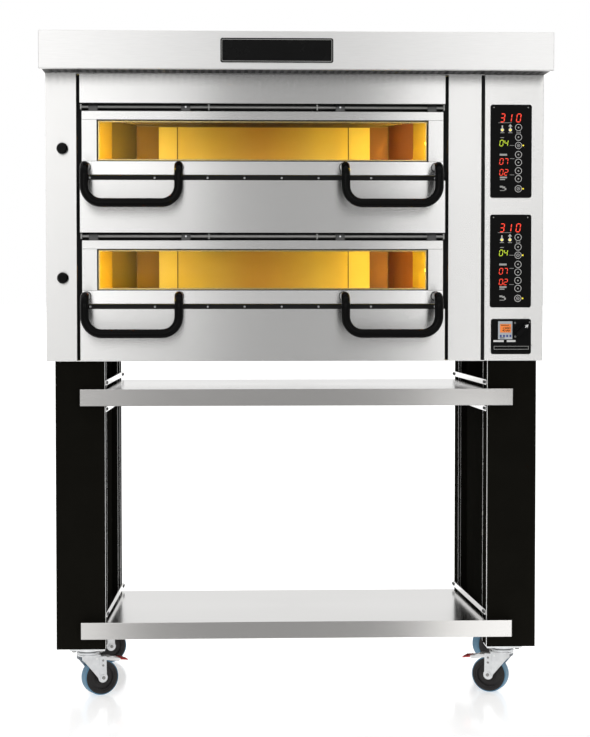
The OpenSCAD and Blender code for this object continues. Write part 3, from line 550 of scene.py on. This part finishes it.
def dress_chamber(deck):
    """Back wall of joined liner sheets, angled sheets in its corners, ceiling and probe."""
    mouth = Box(f"{deck}_chamber")
    floor = Box(f"{deck}_door_glass").z0 - CHAMBER_UNDER_GLASS
    z0, z1 = floor + 1 * MM, floor + CHAMBER_HEIGHT - 1 * MM
    wall = mouth.y1 - 3.2 * MM
    for i, (a, b, finish) in enumerate(BACK_SHEETS):
        sheet = Piece()
        joint = SEAM if 0 < i < 4 else 0
        sheet.slab(MID_X + (a + joint) * MM, MID_X + b * MM, wall - 1.5 * MM, wall, z0, z1)
        sheet.finish(f"{deck}_back_sheet_{i}", "oven", finish, "oven_liner", 0.4 * MM)
    seams = Piece()
    for x in (-388, -259, 281, 408):
        seams.slab(MID_X + (x - 1.5) * MM, MID_X + (x + 1.5) * MM, wall - 2.2 * MM,
                   wall - 1.2 * MM, z0, z1)
    seams.slab(MID_X - 386 * MM, MID_X + 406 * MM, wall - 2.2 * MM, wall - 1.6 * MM,
               z1 - 6 * MM, z1 - 1 * MM)
    seams.finish(f"{deck}_back_seams", "oven", "heater", "oven_liner")

    corner_y, bend_y, front_y = wall - 1 * MM, mouth.y0 + 201 * MM, mouth.y0 + 108 * MM
    # Painted shade on the rear sheet of each corner. The front sheet, beside the lamp, is a copy of the liner
    # toned down for the lamp light.
    for side, side_name, corner, bend, dark in ((-1, "left", 388, 456, "liner_olive_painted_shade"),
                                                (1, "right", 408, 467, "liner_red_painted_shade")):
        corner_x, bend_x = MID_X + side * corner * MM, MID_X + side * bend * MM
        front_x = MID_X + side * (INNER_HALF - 2 * MM)
        for xa, ya, xb, yb, finish, part in (
                (corner_x, corner_y, bend_x, bend_y, dark, "rear"),
                (bend_x, bend_y, front_x, front_y, "liner_lamp", "front")):
            thick = side * 1.5 * MM
            outline = [(xa, ya), (xb, yb), (xb + thick, yb), (xa + thick, ya)]
            sheet = Piece()
            sheet.loft([[(x, y, z) for x, y in outline] for z in (z0, z1)])
            sheet.finish(f"{deck}_{side_name}_{part}_corner", "oven", finish, "oven_liner")

    for y0, y1, finish, part in (
            (mouth.y0 + 2 * MM, mouth.y0 + EDGE_DEPTH, "ceiling_edge", "edge"),
            (mouth.y0 + EDGE_DEPTH, wall - 2 * MM, "ceiling", "sheet")):
        roof = Piece()
        roof.slab(MID_X - INNER_HALF + 3 * MM, MID_X + INNER_HALF - 3 * MM, y0, y1,
                  z1 - 0.2 * MM, z1 + 0.6 * MM)
        roof.finish(f"{deck}_ceiling_{part}", "oven", finish, "oven_liner")

    hanger = Piece()
    hanger.slab(MID_X + 1 * MM, MID_X + 5 * MM, mouth.y0 + 60 * MM, mouth.y0 + 64 * MM, z1 - 22 * MM, z1)
    hanger.slab(MID_X - 8 * MM, MID_X + 14 * MM, mouth.y0 + 58 * MM, mouth.y0 + 66 * MM, z1 - 3 * MM, z1)
    hanger.finish(f"{deck}_element_hanger", "oven", "liner_dark_red", "oven_liner", 0.5 * MM)
    probe = Piece()
    probe.lathe([(0.2, 0), (2.4, 1), (2.4, 74), (0.2, 76)],
                (MID_X + 424 * MM, corner_y - 46 * MM, 0), "z", 12, z0)
    probe.finish(f"{deck}_probe", "oven", "heater", "heater")


def islands(node):
    """Low and high corner of each separate solid in a node's mesh."""
    mesh = NODES[node].data
    bm = bmesh.new()
    bm.from_mesh(mesh)
    bmesh.ops.remove_doubles(bm, verts=bm.verts, dist=0.01 * MM)
    found, seen = [], set()
    for start in bm.verts:
        if start in seen:
            continue
        stack, members = [start], []
        seen.add(start)
        while stack:
            vert = stack.pop()
            members.append(vert.co.copy())
            for edge in vert.link_edges:
                other = edge.other_vert(vert)
                if other not in seen:
                    seen.add(other)
                    stack.append(other)
        found.append((Vector(map(min, *members)), Vector(map(max, *members))))
    bm.free()
    return found


def dress_screws():
    """Domed heads with a cross recess in place of the plain screws of sills and rails."""
    for kind, finish in (("sill", "zinc"), ("rail", "screw_dark")):
        heads, recess = Piece(), Piece()
        for low, high in islands("screws"):
            size, mid = high - low, (low + high) / 2
            if (size.y < size.z / 2) != (kind == "sill"):
                continue
            if kind == "sill":
                depth = size.y / MM
                heads.lathe([(2.9, depth), (2.9, depth - 1), (1.8, 0), (0.2, -0.1)],
                            (mid.x, 0, mid.z), "y", 16, low.y)
                for w, h in ((1.6, 0.4), (0.4, 1.6)):
                    recess.slab(mid.x - w * MM, mid.x + w * MM, low.y - 0.2 * MM, low.y,
                                mid.z - h * MM, mid.z + h * MM)
            else:
                inward, top = (-1, low.x) if mid.x > 0 else (1, high.x)
                heads.lathe([(4.6, -size.x / MM), (4.6, -0.8), (3, 0), (0.2, 0.2)],
                            (0, mid.y, mid.z), "x", 16, top, inward)
                for w, h in ((2.4, 0.5), (0.5, 2.4)):
                    recess.slab(*sorted((top, top + inward * 0.4 * MM)), mid.y - w * MM,
                                mid.y + w * MM, mid.z - h * MM, mid.z + h * MM)
        made = heads.finish(f"{kind}_screw_heads", "oven", finish, "zinc")
        recess.finish(f"{kind}_screw_recesses", "oven", "seal", "zinc")
        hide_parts("screws")


def rounded_outline(x0, x1, z0, z1, radius, steps=6):
    """Points of a rectangle with round corners."""
    corners = ((x1 - radius, z1 - radius, 0), (x0 + radius, z1 - radius, 1),
               (x0 + radius, z0 + radius, 2), (x1 - radius, z0 + radius, 3))
    return [(x + radius * math.cos(t), z + radius * math.sin(t))
            for x, z, quarter in corners
            for t in ((quarter + i / steps) * math.pi / 2 for i in range(steps + 1))]


def dress_name_plate():
    """Blank plate with a thin silver line inside its edge, a little narrower than the CAD's."""
    plate = Box("name_plate")
    right, face = plate.x1 - 5 * MM, plate.y0 + 0.4 * MM
    blank = Piece()
    blank.plate(rounded_outline(plate.x0, right, plate.z0, plate.z1, 6 * MM), face, plate.y1)
    made = blank.finish("name_plate_blank", "oven", "badge", "badge", 0.3 * MM)
    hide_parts("name_plate")
    line = Piece()
    width = 1.3 * MM
    outer, inner = (rounded_outline(plate.x0 + inset, right - inset, plate.z0 + inset,
                                    plate.z1 - inset, radius)
                    for inset, radius in ((3.5 * MM, 4 * MM), (3.5 * MM + width, 4 * MM - width)))
    back = face + 0.1 * MM
    line.loft([[(xo, plate.y0, zo), (xi, plate.y0, zi), (xi, back, zi), (xo, back, zo)]
               for (xo, zo), (xi, zi) in zip(outer, inner)], closed=True)
    line.finish("name_plate_line", "oven", "silver_ink", "badge")


# ---- Control tower ----

SEGMENTS = {"0": "abcdef", "1": "bc", "2": "abged", "3": "abgcd", "4": "fgbc", "7": "abc"}


def digit(piece, figure, x, z, width, height, stroke, y_front, y_back):
    """Seven-segment figure whose lower left corner is at x, z, leaning to the right."""
    w, h, s = width, height / 2, stroke / 2
    bars = {"a": ((0, 2 * h), (w, 2 * h)), "b": ((w, h), (w, 2 * h)),
            "c": ((w, 0), (w, h)), "d": ((0, 0), (w, 0)), "e": ((0, 0), (0, h)),
            "f": ((0, h), (0, 2 * h)), "g": ((0, h), (w, h))}
    lean, gap = 0.14, stroke * 0.35  # lean: shift to the right per height
    for name in SEGMENTS[figure]:
        (ax, az), (bx, bz) = bars[name]
        if az == bz:
            flat = [(ax + gap, az), (ax + gap + s, az + s), (bx - gap - s, az + s),
                    (bx - gap, az), (bx - gap - s, az - s), (ax + gap + s, az - s)]
        else:
            flat = [(ax, az + gap), (ax + s, az + gap + s), (ax + s, bz - gap - s),
                    (ax, bz - gap), (ax - s, bz - gap - s), (ax - s, az + gap + s)]
        piece.plate([(x + px + pz * lean, z + pz) for px, pz in flat], y_front, y_back)


class Face:
    """A control panel's face, with places given in mm from its top left corner."""

    def __init__(self, x0, z1, y0):
        self.x0, self.z1, self.y0 = x0, z1, y0
        self.back = y0 + 0.4 * MM

    def at(self, x, down):
        return self.x0 + x * MM, self.z1 - down * MM

    def bar(self, piece, x, down, width, height, raised=0.3):
        px, pz = self.at(x, down)
        w, h = width * MM / 2, height * MM / 2
        piece.slab(px - w, px + w, self.y0 - raised * MM, self.back, pz - h, pz + h)

    def dot(self, piece, x, down, radius, raised=0.3):
        disc(piece, *self.at(x, down), radius * MM, self.y0 - raised * MM, self.back)

    def ring(self, piece, x, down, radius, stroke, raised=0.3):
        piece.ring(self.at(x, down), (radius - stroke) * MM, radius * MM,
                   self.y0 - raised * MM, self.back)

    def figure(self, piece, figure, x, down, width, height, stroke):
        px, pz = self.at(x, down)
        digit(piece, figure, px, pz, width * MM, height * MM, stroke * MM, self.y0 - 0.3 * MM, self.back)


KEY_X = 83.5
KEYS = (66, 94.5, 119, 146, 169, 194, 217.5, 247)
DOUBLE_KEYS = (119, 247)
# Place and size of the bars that stand for words and signs: x, down, width, height
PANEL_BARS = ((35, 81.5, 12, 1.8), (59, 81.5, 12, 1.8), (43, 52, 40, 1.0),
              (35, 96, 11, 1.8), (38.5, 146.5, 22, 5.5), (39, 213.5, 21, 4.5),
              (36, 219.5, 15, 3), (64, 119, 13, 1.1), (64.5, 158, 13, 1.1),
              (64.5, 206, 13, 1.1), (33, 241, 9, 5), (40, 243, 8, 5), (45, 248, 5, 6),
              (36, 252.5, 14, 1.6), (84, 80.5, 12, 1.2), (78.5, 80.5, 1.2, 7),
              (89, 80.5, 1.2, 7))


def dress_control_panel(deck, face):
    """Displays, signs and ring keys of one deck's membrane panel."""
    red, green, white, grey, yellow, signal = (Piece() for _ in range(6))
    for figure, x in (("3", 28.5), ("1", 49.5), ("0", 76.5)):
        face.figure(red, figure, x, 49.5, 11.5, 23.5, 2.5)
    for piece, text, down in ((green, "04", 120.5), (red, "07", 175), (red, "02", 207)):
        for i, figure in enumerate(text):
            face.figure(piece, figure, 27 + 14 * i, down, 9.5, 17, 1.8)
    for x in (35, 59):
        face.bar(white, x, 64.5, 3.2, 9)
        face.dot(white, x, 73, 5.2)
        face.dot(yellow, x, 73.5, 3.0, 0.5)
    arrow = [face.at(x, down) for x, down in ((59, 56), (65, 63), (53, 63))]
    white.plate(arrow, face.y0 - 0.3 * MM, face.back)
    for bar in PANEL_BARS:
        face.bar(grey, *bar)
    for down in KEYS:
        face.ring(white, KEY_X, down, 10.3, 1.25)
        if down in DOUBLE_KEYS:
            face.ring(white, KEY_X, down, 4.7, 0.9)
            face.dot(white, KEY_X, down, 1.2)
            face.dot(signal, KEY_X + 14, down, 2.3, 0.8)
        else:
            face.dot(grey, KEY_X, down, 2.4)
    for x in (10, 112):
        face.dot(grey, x, 7, 1.6)
    for piece, part, finish in ((red, "red_figures", "red_light"),
                                (green, "green_figures", "green_light"),
                                (white, "key_rings", "white_ink"),
                                (grey, "labels", "grey_ink"),
                                (yellow, "flames", "yellow_light"),
                                (signal, "signals", "yellow_light")):
        piece.finish(f"{deck}_panel_{part}", "oven", finish, "panel_black")


def dress_switch_panel():
    """Clock face, its keys, the labels and the pointer of the main switch."""
    panel, timer, knob = Box("switch_panel"), Box("timer_module"), Box("main_switch_knob")
    face = Face(panel.x0, panel.z1 - 1.2 * MM, panel.y0)
    labels, marks = Piece(), Piece()
    face.bar(labels, 23, 64.8, 31, 5.5)
    face.bar(labels, 60.5, 64.8, 26, 5.5)
    marks.frame(panel.x0 + 9 * MM, panel.x1 - 7 * MM, panel.z0 + 14 * MM,
                panel.z0 + 24 * MM, 1.1 * MM, panel.y0 - 0.3 * MM, face.back)
    for x, down in ((72, 10.5), (73, 51.5), (116, 9)):
        face.ring(marks, x, down, 2.4, 0.9)
    labels.finish("switch_labels", "oven", "white_ink", "panel_black")
    marks.finish("switch_marks", "oven", "grey_ink", "panel_black")

    clock = Face(timer.x0, timer.z1, timer.y0)
    glass, ink, keys, bezel = Piece(), Piece(), Piece(), Piece()
    clock.bar(glass, 22, 20.6, 32.4, 25)
    bezel.frame(timer.x0 + 4.6 * MM, timer.x1 - 3 * MM, timer.z1 - 34.4 * MM,
                timer.z1 - 6.8 * MM, 1.2 * MM, timer.y0 - 0.8 * MM, clock.back)
    for i, figure in enumerate("1200"):
        x, z = clock.at(9.5 + 6.6 * i, 30)
        digit(ink, figure, x, z, 4.6 * MM, 13 * MM, 2.3 * MM, timer.y0 - 0.5 * MM, clock.back)
    clock.bar(ink, 20, 11.5, 24, 2, 0.5)
    for i in range(4):
        clock.bar(keys, 7.7 + 9.6 * i, 43.4, 5.4, 6.5, 1.2)
    clock.bar(ink, 12, 49.4, 14, 2.2)
    glass.finish("clock_display", "oven", "orange_light", "timer_case")
    bezel.finish("clock_bezel", "oven", "grey_ink", "timer_case", 0.3 * MM)
    ink.finish("clock_figures", "oven", "seal", "timer_case")
    keys.finish("clock_keys", "oven", "blue_key", "timer_case", 0.5 * MM)

    pointer = Piece()
    turn = math.radians(45)
    tip_x, tip_z = knob.x1 - 7 * MM, knob.z1 - 7 * MM
    arrow = ((5.4, 0), (-4.6, 6), (-2.4, 1.5), (-8, 1.5), (-8, -1.5), (-2.4, -1.5), (-4.6, -6))
    pointer.plate([(tip_x + (along * math.cos(turn) - across * math.sin(turn)) * MM,
                    tip_z + (along * math.sin(turn) + across * math.cos(turn)) * MM)
                   for along, across in arrow], knob.y0 - 0.3 * MM, knob.y0 + 0.4 * MM)
    pointer.finish("switch_pointer", "main_switch", "white_ink", "panel_black")


def dress_tower():
    panels = Box("control_panels")
    margin, height = 1.5 * MM, 274 * MM
    dress_control_panel("upper", Face(panels.x0, panels.z1 - margin, panels.y0))
    dress_control_panel("lower", Face(panels.x0, panels.z0 + height, panels.y0))
    dress_switch_panel()


# ---- Covers, hood and stand ----

COVER_SCREW = ((4, 0), (4, 0.8), (2.4, 1.8), (0.2, 2))
LOUVRE_PITCH = 14 * MM


def louvres(piece, place, out, along, first_z, count):
    """A bank of louvre hoods, each with its section given by place(out, along, z)."""
    lip, droop = 4.5 * MM, 4.5 * MM
    for i in range(count):
        z = first_z + i * LOUVRE_PITCH
        piece.loft([[place(out, a, z), place(out + lip, a, z - droop),
                     place(out + lip - 0.8 * MM, a, z - 5 * MM),
                     place(out, a, z - 1.2 * MM)] for a in along])


def dress_covers():
    """Screws round the side and back covers, louvre hoods and a blank data plate."""
    left, right, back = (Box(f"{n}_cover") for n in ("left_side", "right_side", "back"))
    screws = Piece()
    edge, foot, rows = 14 * MM, 20 * MM, 6
    for cover, x_out, sign in ((left, left.x0, -1), (right, right.x1, 1)):
        y0, y1 = cover.y0 + edge, cover.y1 - edge
        for up, along in zip(spread(cover.z0 + foot, cover.z1 - foot, rows),
                             spread(y0, y1, rows)):
            for y, z in ((y0, up), (y1, up), (along, cover.z0 + foot)):
                screws.lathe(COVER_SCREW, (0, y, z), "x", 12, x_out, sign)
    for x in spread(back.x0 + 20 * MM, back.x1 - 20 * MM, 9):
        for z in (back.z0 + 18 * MM, back.mid_z, back.z1 - 18 * MM):
            screws.lathe(COVER_SCREW, (x, 0, z), "y", 12, back.y1)
    screws.finish("cover_screws", "oven", "zinc", "zinc")

    hoods, tower = Piece(), Box("control_tower")
    louvres(hoods, lambda out, along, z: (out, along, z), right.x1,
            (right.y0 + 326 * MM, right.y0 + 480 * MM), right.z0 + 95 * MM, 12)
    for bank in (95, 565):
        louvres(hoods, lambda out, along, z: (along, out, z), back.y1,
                (tower.x0 + 28 * MM, tower.x0 + 152 * MM), back.z0 + bank * MM, 14)
    hoods.finish("louvre_hoods", "oven", "stainless", "stainless")

    plate = Piece()
    plate.slab(back.x1 - 330 * MM, back.x1 - 230 * MM, back.y1, back.y1 + 0.8 * MM,
               back.z0 + 500 * MM, back.z0 + 560 * MM)
    for x in (325, 235):
        for z in (505, 555):
            disc(plate, back.x1 - x * MM, back.z0 + z * MM, 2 * MM, back.y1, back.y1 + 1.8 * MM, 10)
    plate.finish("data_plate", "oven", "silver_ink", "zinc")


def dress_hood():
    """Turned-in lower edge of the hood, seams on its top and screws round the flue."""
    crown, flue = Box("hood_crown"), Box("flue_collar")
    edge = Piece()
    inset, side_lip, lip = 2.2 * MM, 9 * MM, 14 * MM
    z0, z1 = crown.z0 - 0.6 * MM, crown.z0 - 0.05 * MM
    for y0, y1 in ((crown.y0 + inset, crown.y0 + lip), (crown.y1 - lip, crown.y1 - inset)):
        edge.slab(crown.x0 + inset, crown.x1 - inset, y0, y1, z0, z1)
    for x0, x1 in ((crown.x0 + inset, crown.x0 + side_lip),
                   (crown.x1 - side_lip, crown.x1 - inset)):
        edge.slab(x0, x1, crown.y0 + lip, crown.y1 - lip, z0, z1)
    edge.finish("hood_turned_edge", "oven", "crown", "stainless", 0.2 * MM)
    screws = Piece()
    count, circle = 12, 88 * MM
    for i in range(count):
        t = 2 * math.pi * (i + 0.5) / count
        centre = flue.mid_x + circle * math.cos(t), flue.mid_y + circle * math.sin(t), 0
        screws.lathe([(3.4, -0.4), (3.4, 1), (0.2, 2.2)], centre, "z", 10, crown.z1 + 2 * MM)
    screws.finish("flue_screws", "oven", "zinc", "zinc")
    seam = Piece()
    for x in (-250, 250):
        seam.slab((x - 6) * MM, (x + 6) * MM, crown.y0 + 10 * MM, crown.y1 - 10 * MM,
                  crown.z1 - 0.1 * MM, crown.z1 + 1.2 * MM)
    seam.finish("hood_top_seams", "oven", "crown", "stainless", 0.5 * MM)


def dress_stand():
    """Painted highlights: thin bright strips along the inner corners of the legs."""
    legs, edges = Box("stand_legs"), Piece()
    width, rear_extra, depth = 146 * MM, 22 * MM, 95 * MM
    proud, line = 1.2 * MM, 2.2 * MM
    for side, outer in zip(SIDES, (legs.x0, legs.x1)):
        front_in = outer - side * width
        for y in (legs.y0, legs.y0 + depth - line):
            edges.slab(*sorted((front_in, front_in - side * proud)), y, y + line,
                       legs.z0 + 2 * MM, legs.z1)
        rear_in, rear_y = front_in - side * rear_extra, legs.y1 - depth
        for x in (rear_in, rear_in + side * 7 * MM):
            edges.slab(*sorted((x, x + side * line)), rear_y - proud, rear_y, legs.z0 + 2 * MM, legs.z1)
    edges.finish("leg_edge_highlights", "oven", "painted_edge_highlight", "stainless")


# ---- Castors ----

def castor_place(name):
    """Matrix of a castor, the trail of its wheel and the height of its axle.

    In the matrix Z is the swivel axis and X the way the wheel trails.
    """
    at = {j["name"]: Vector(j["pos_m"]) for j in frame["joints"] if "pos_m" in j}
    swivel, axle = at[f"{name}_swivel_turn"], at[f"{name}_wheel_spin"]
    arm = axle - swivel
    angle, trail = math.atan2(arm.y, arm.x), math.hypot(arm.x, arm.y)
    place = Matrix.Translation((swivel.x, swivel.y, 0)) @ Matrix.Rotation(angle, 4, "Z")
    return place, trail, axle.z


def dress_fork(name):
    """Straps, rivets, axle ends and race of a castor's fork, and the bolts of its plate."""
    place, trail, axle_z = castor_place(name)
    straps, rivets = Piece(), Piece()
    strap_radius, strap_top, fork_side = 12 * MM, 119 * MM, 24 * MM
    for side in SIDES:
        foot = [(trail + strap_radius * math.cos(t), axle_z + strap_radius * math.sin(t))
                for t in (math.pi + math.pi * i / 8 for i in range(9))]
        out = side * (fork_side + 1.6 * MM)
        straps.plate(foot + [(trail + 11 * MM, strap_top), (trail - 11 * MM, strap_top)],
                     *sorted((side * (fork_side - 0.2 * MM), out)))
        for z in (91 * MM, 106 * MM):
            rivets.lathe([(3.4, 0), (3.0, 1.2), (1.6, 2), (0.2, 2.1)], (trail, 0, z), "y", 14, out, side)
        rivets.lathe([(5.2, -1), (5.0, 2), (3.8, 3), (0.2, 3.1)], (trail, 0, axle_z), "y",
                     16, side * (fork_side + 5 * MM), side)
    straps.finish(f"{name}_straps", f"{name}_swivel", "zinc", "zinc", 0.5 * MM, turn=place)
    rivets.finish(f"{name}_rivets", f"{name}_swivel", "dull_zinc", "zinc", turn=place)

    race = Piece()
    race.lathe([(26, 134.6), (33.5, 133), (35, 130.5), (33.5, 128), (26, 127)], (0, 0, 0), "z", 36)
    race.finish(f"{name}_race", f"{name}_swivel", "zinc", "zinc", turn=place)

    bolts = Piece()
    under = Box("caster_plates").z1 - 6 * MM
    for x in (-40, 40):
        for y in (-32, 32):
            bolts.lathe([(6.5, 0), (6.5, 4), (5, 4.8), (0.2, 5)], (x * MM, y * MM, 0), "z", 6, under, -1)
    bolts.finish(f"{name}_plate_bolts", "oven", "dull_zinc", "zinc",
                 turn=Matrix.Translation((place.translation.x, place.translation.y, 0)))


def dress_wheel(name):
    """Rings of a wheel's core, and the dark flanks of its tyre."""
    place, trail, axle_z = castor_place(name)
    rings = Piece()
    for side in SIDES:
        for inner, outer, y_in, y_out, steps in ((38, 42.4, 14.6, 16.6, 40),
                                                 (17, 20, 13.9, 15.9, 40),
                                                 (42.8, 50.8, 17, 17.8, 48)):
            rings.ring((trail, axle_z), inner * MM, outer * MM,
                       *sorted((side * y_in * MM, side * y_out * MM)), steps)
    rings.finish(f"{name}_core_rings", f"{name}_roller", "core", "wheel_core", 0.5 * MM, turn=place)


def dress_pedal(name):
    """Ribbed red tread of a brake pedal, and the cheeks that carry it."""
    place = castor_place(name)[0]
    tread, pad = Piece(), 23 * MM
    shape = ((96, 107.8), (119, 104.9), (121.5, 100.2), (96, 103.6))
    tread.loft([[(x * MM, y, z * MM) for x, z in shape] for y in (-pad, pad)])
    for i in range(4):
        x, z = 100 + i * 5, 107.0 - i * 0.6
        tread.slab(x * MM, (x + 2) * MM, -pad + 3 * MM, pad - 3 * MM, z * MM, (z + 1.6) * MM)
    tread.finish(f"{name}_red_tread", f"{name}_brake", "red", "pedal", 0.8 * MM, turn=place)
    cheeks = Piece()
    outline = ((40, 114), (92, 108), (97, 104), (91, 99), (64, 103), (40, 108))
    for side in SIDES:
        cheeks.plate([(x * MM, z * MM) for x, z in outline],
                     *sorted((side * 19.1 * MM, side * 20.4 * MM)))
    cheeks.finish(f"{name}_pedal_cheeks", f"{name}_brake", "pedal", "pedal", 0.4 * MM, turn=place)


for deck in DECKS:
    dress_door(deck)
    dress_chamber(deck)
dress_front()
dress_screws()
dress_name_plate()
dress_tower()
dress_covers()
dress_hood()
dress_stand()
for castor in CASTORS:
    dress_fork(castor)
    dress_wheel(castor)
    if castor.startswith("front"):
        dress_pedal(castor)


# ---- Studio ----

LENS, SENSOR = 99.65, 36.0
CAMERA_PLACE = (-0.2538, -6.334, 1.235)
CAMERA_YAW, CAMERA_PITCH = 2.386, 2.34  # degrees


def add_camera():
    """Camera turned by the yaw to the right of +Y, and by the pitch below the horizon."""
    data = bpy.data.cameras.new("camera")
    data.lens, data.sensor_width = LENS, SENSOR
    camera = add_object("camera", data)
    turn = (Matrix.Rotation(math.radians(-CAMERA_YAW), 4, "Z")
            @ Matrix.Rotation(math.radians(90 - CAMERA_PITCH), 4, "X"))
    camera.matrix_world = Matrix.Translation(CAMERA_PLACE) @ turn
    bpy.context.scene.camera = camera


def add_light(name, place, target, width, height, power):
    """A rectangular soft box that faces its target."""
    data = bpy.data.lights.new(name, "AREA")
    data.shape, data.size, data.size_y = "RECTANGLE", width, height
    data.energy = power
    lamp = add_object(name, data)
    lamp.location = place
    aim = Vector(target) - Vector(place)
    lamp.rotation_euler = aim.to_track_quat("-Z", "Y").to_euler()


FRONT_ROOM = 0.45  # brightness of the room in front of the oven
# Name, left and right edge, bottom and top, and brightness of each soft box in front
SOFT_BOXES = (("left_top", -4.6, -0.92, 2.65, 4.4, 1.9),
              ("left_high", -4.6, -0.92, 1.5, 2.65, 1.28),
              ("left_low", -4.6, -0.92, 0.6, 1.5, 0.25),
              ("left_mid", -4.6, -0.92, -0.3, 0.6, 0.34),
              ("left_kick", -4.6, -0.92, -2.0, -0.3, 0.98),
              ("fill", -0.92, -0.30, 1.3, 4.4, 1.2),
              ("right_top", 1.02, 4.6, 2.65, 4.4, 2.0),
              ("right_inner", 1.02, 1.6, 1.5, 2.65, 0.90),
              ("right_outer", 1.6, 4.6, 1.5, 2.65, 0.30),
              ("right_low_inner", 1.02, 1.6, 0.6, 1.5, 0.10),
              ("right_low_outer", 1.75, 4.6, 0.6, 1.5, 0.05),
              ("right_mid_inner", 1.25, 1.75, -0.1, 0.6, 1.2),
              ("right_mid_outer", 1.75, 4.6, -0.3, 0.6, 0.3),
              ("right_kick", 1.25, 4.6, -2.0, -0.3, 1.35))
SOFT_BOX_Y = -8.0


def add_studio():
    """White backdrop, a room that is dimmer in front, and the soft boxes the steel mirrors.

    Some boxes reach below the floor's level: the floor starts close to the oven's front, so
    it doesn't hide them.
    """
    scene = bpy.context.scene
    scene.view_settings.view_transform = "Standard"
    world = bpy.data.worlds.new("studio")
    scene.world = world
    world.use_nodes = True
    nodes, links = world.node_tree.nodes, world.node_tree.links
    room, backdrop = nodes["Background"], nodes.new("ShaderNodeBackground")
    for background in (room, backdrop):
        background.inputs["Color"].default_value = (1, 1, 1, 1)
    direction = nodes.new("ShaderNodeTexCoord")
    split = nodes.new("ShaderNodeSeparateXYZ")
    depth = nodes.new("ShaderNodeMapRange")
    for socket, value in (("From Min", -0.5), ("From Max", 0.4), ("To Min", FRONT_ROOM),
                          ("To Max", 1.0)):
        depth.inputs[socket].default_value = value
    seen = nodes.new("ShaderNodeLightPath")
    mix = nodes.new("ShaderNodeMixShader")
    for out, into in ((direction.outputs["Generated"], split.inputs[0]),
                      (split.outputs["Y"], depth.inputs["Value"]),
                      (depth.outputs[0], room.inputs["Strength"]),
                      (seen.outputs["Is Camera Ray"], mix.inputs["Fac"]),
                      (room.outputs[0], mix.inputs[1]),
                      (backdrop.outputs[0], mix.inputs[2]),
                      (mix.outputs[0], nodes["World Output"].inputs["Surface"])):
        links.new(out, into)

    for name, x0, x1, z0, z1, brightness in SOFT_BOXES:
        x, z = (x0 + x1) / 2, (z0 + z1) / 2
        power = brightness * math.pi * (x1 - x0) * (z1 - z0)
        add_light(f"softbox_{name}", (x, SOFT_BOX_Y, z), (x, 0, z), x1 - x0, z1 - z0, power)
    add_light("overhead", (0, -0.5, 4.5), (0, 0, 0), 5.0, 5.0, 40)


FLOOR_HALF = 60
FLOOR_FRONT = -0.8
FLOOR_GLOW = 0.50


def add_floor():
    """A pale glossy floor, from close to the oven's front to far behind it."""
    s = Shader("studio_floor", Roughness=0.12, Emission_Strength=FLOOR_GLOW)
    s.feed("Base Color", s.tint(s.noise(1.5, 2), (0.90, 0.90, 0.895), (0.93, 0.93, 0.925)))
    bm = bmesh.new()
    bmesh.ops.create_grid(bm, x_segments=8, y_segments=8, size=1)
    for vert in bm.verts:
        vert.co.x *= FLOOR_HALF
        vert.co.y = FLOOR_FRONT + (vert.co.y + 1) * FLOOR_HALF
    mesh = bpy.data.meshes.new("floor")
    bm.to_mesh(mesh)
    bm.free()
    mesh.materials.append(s.material)
    add_object("floor", mesh)


LAMP_POWER = 4.3
LAMP_COLOUR = (1.0, 0.76, 0.14)


def add_chamber_lamps():
    """A warm lamp at each side of each chamber, just inside its lens."""
    for deck in DECKS:
        lamp_y = Box(f"{deck}_chamber").y0 + 70 * MM
        lamp_z = Box(f"{deck}_door_glass").mid_z
        for side, edge in zip(SIDES, (LAMPS.x0, LAMPS.x1)):
            data = bpy.data.lights.new(f"{deck}_lamp", "POINT")
            data.energy, data.color = LAMP_POWER, LAMP_COLOUR
            data.shadow_soft_size = 20 * MM
            lamp = add_object(f"{deck}_lamp", data)
            lamp.location = (edge - side * 62 * MM, lamp_y, lamp_z)
            lamp.visible_camera = False


add_camera()
add_studio()
add_floor()
add_chamber_lamps()
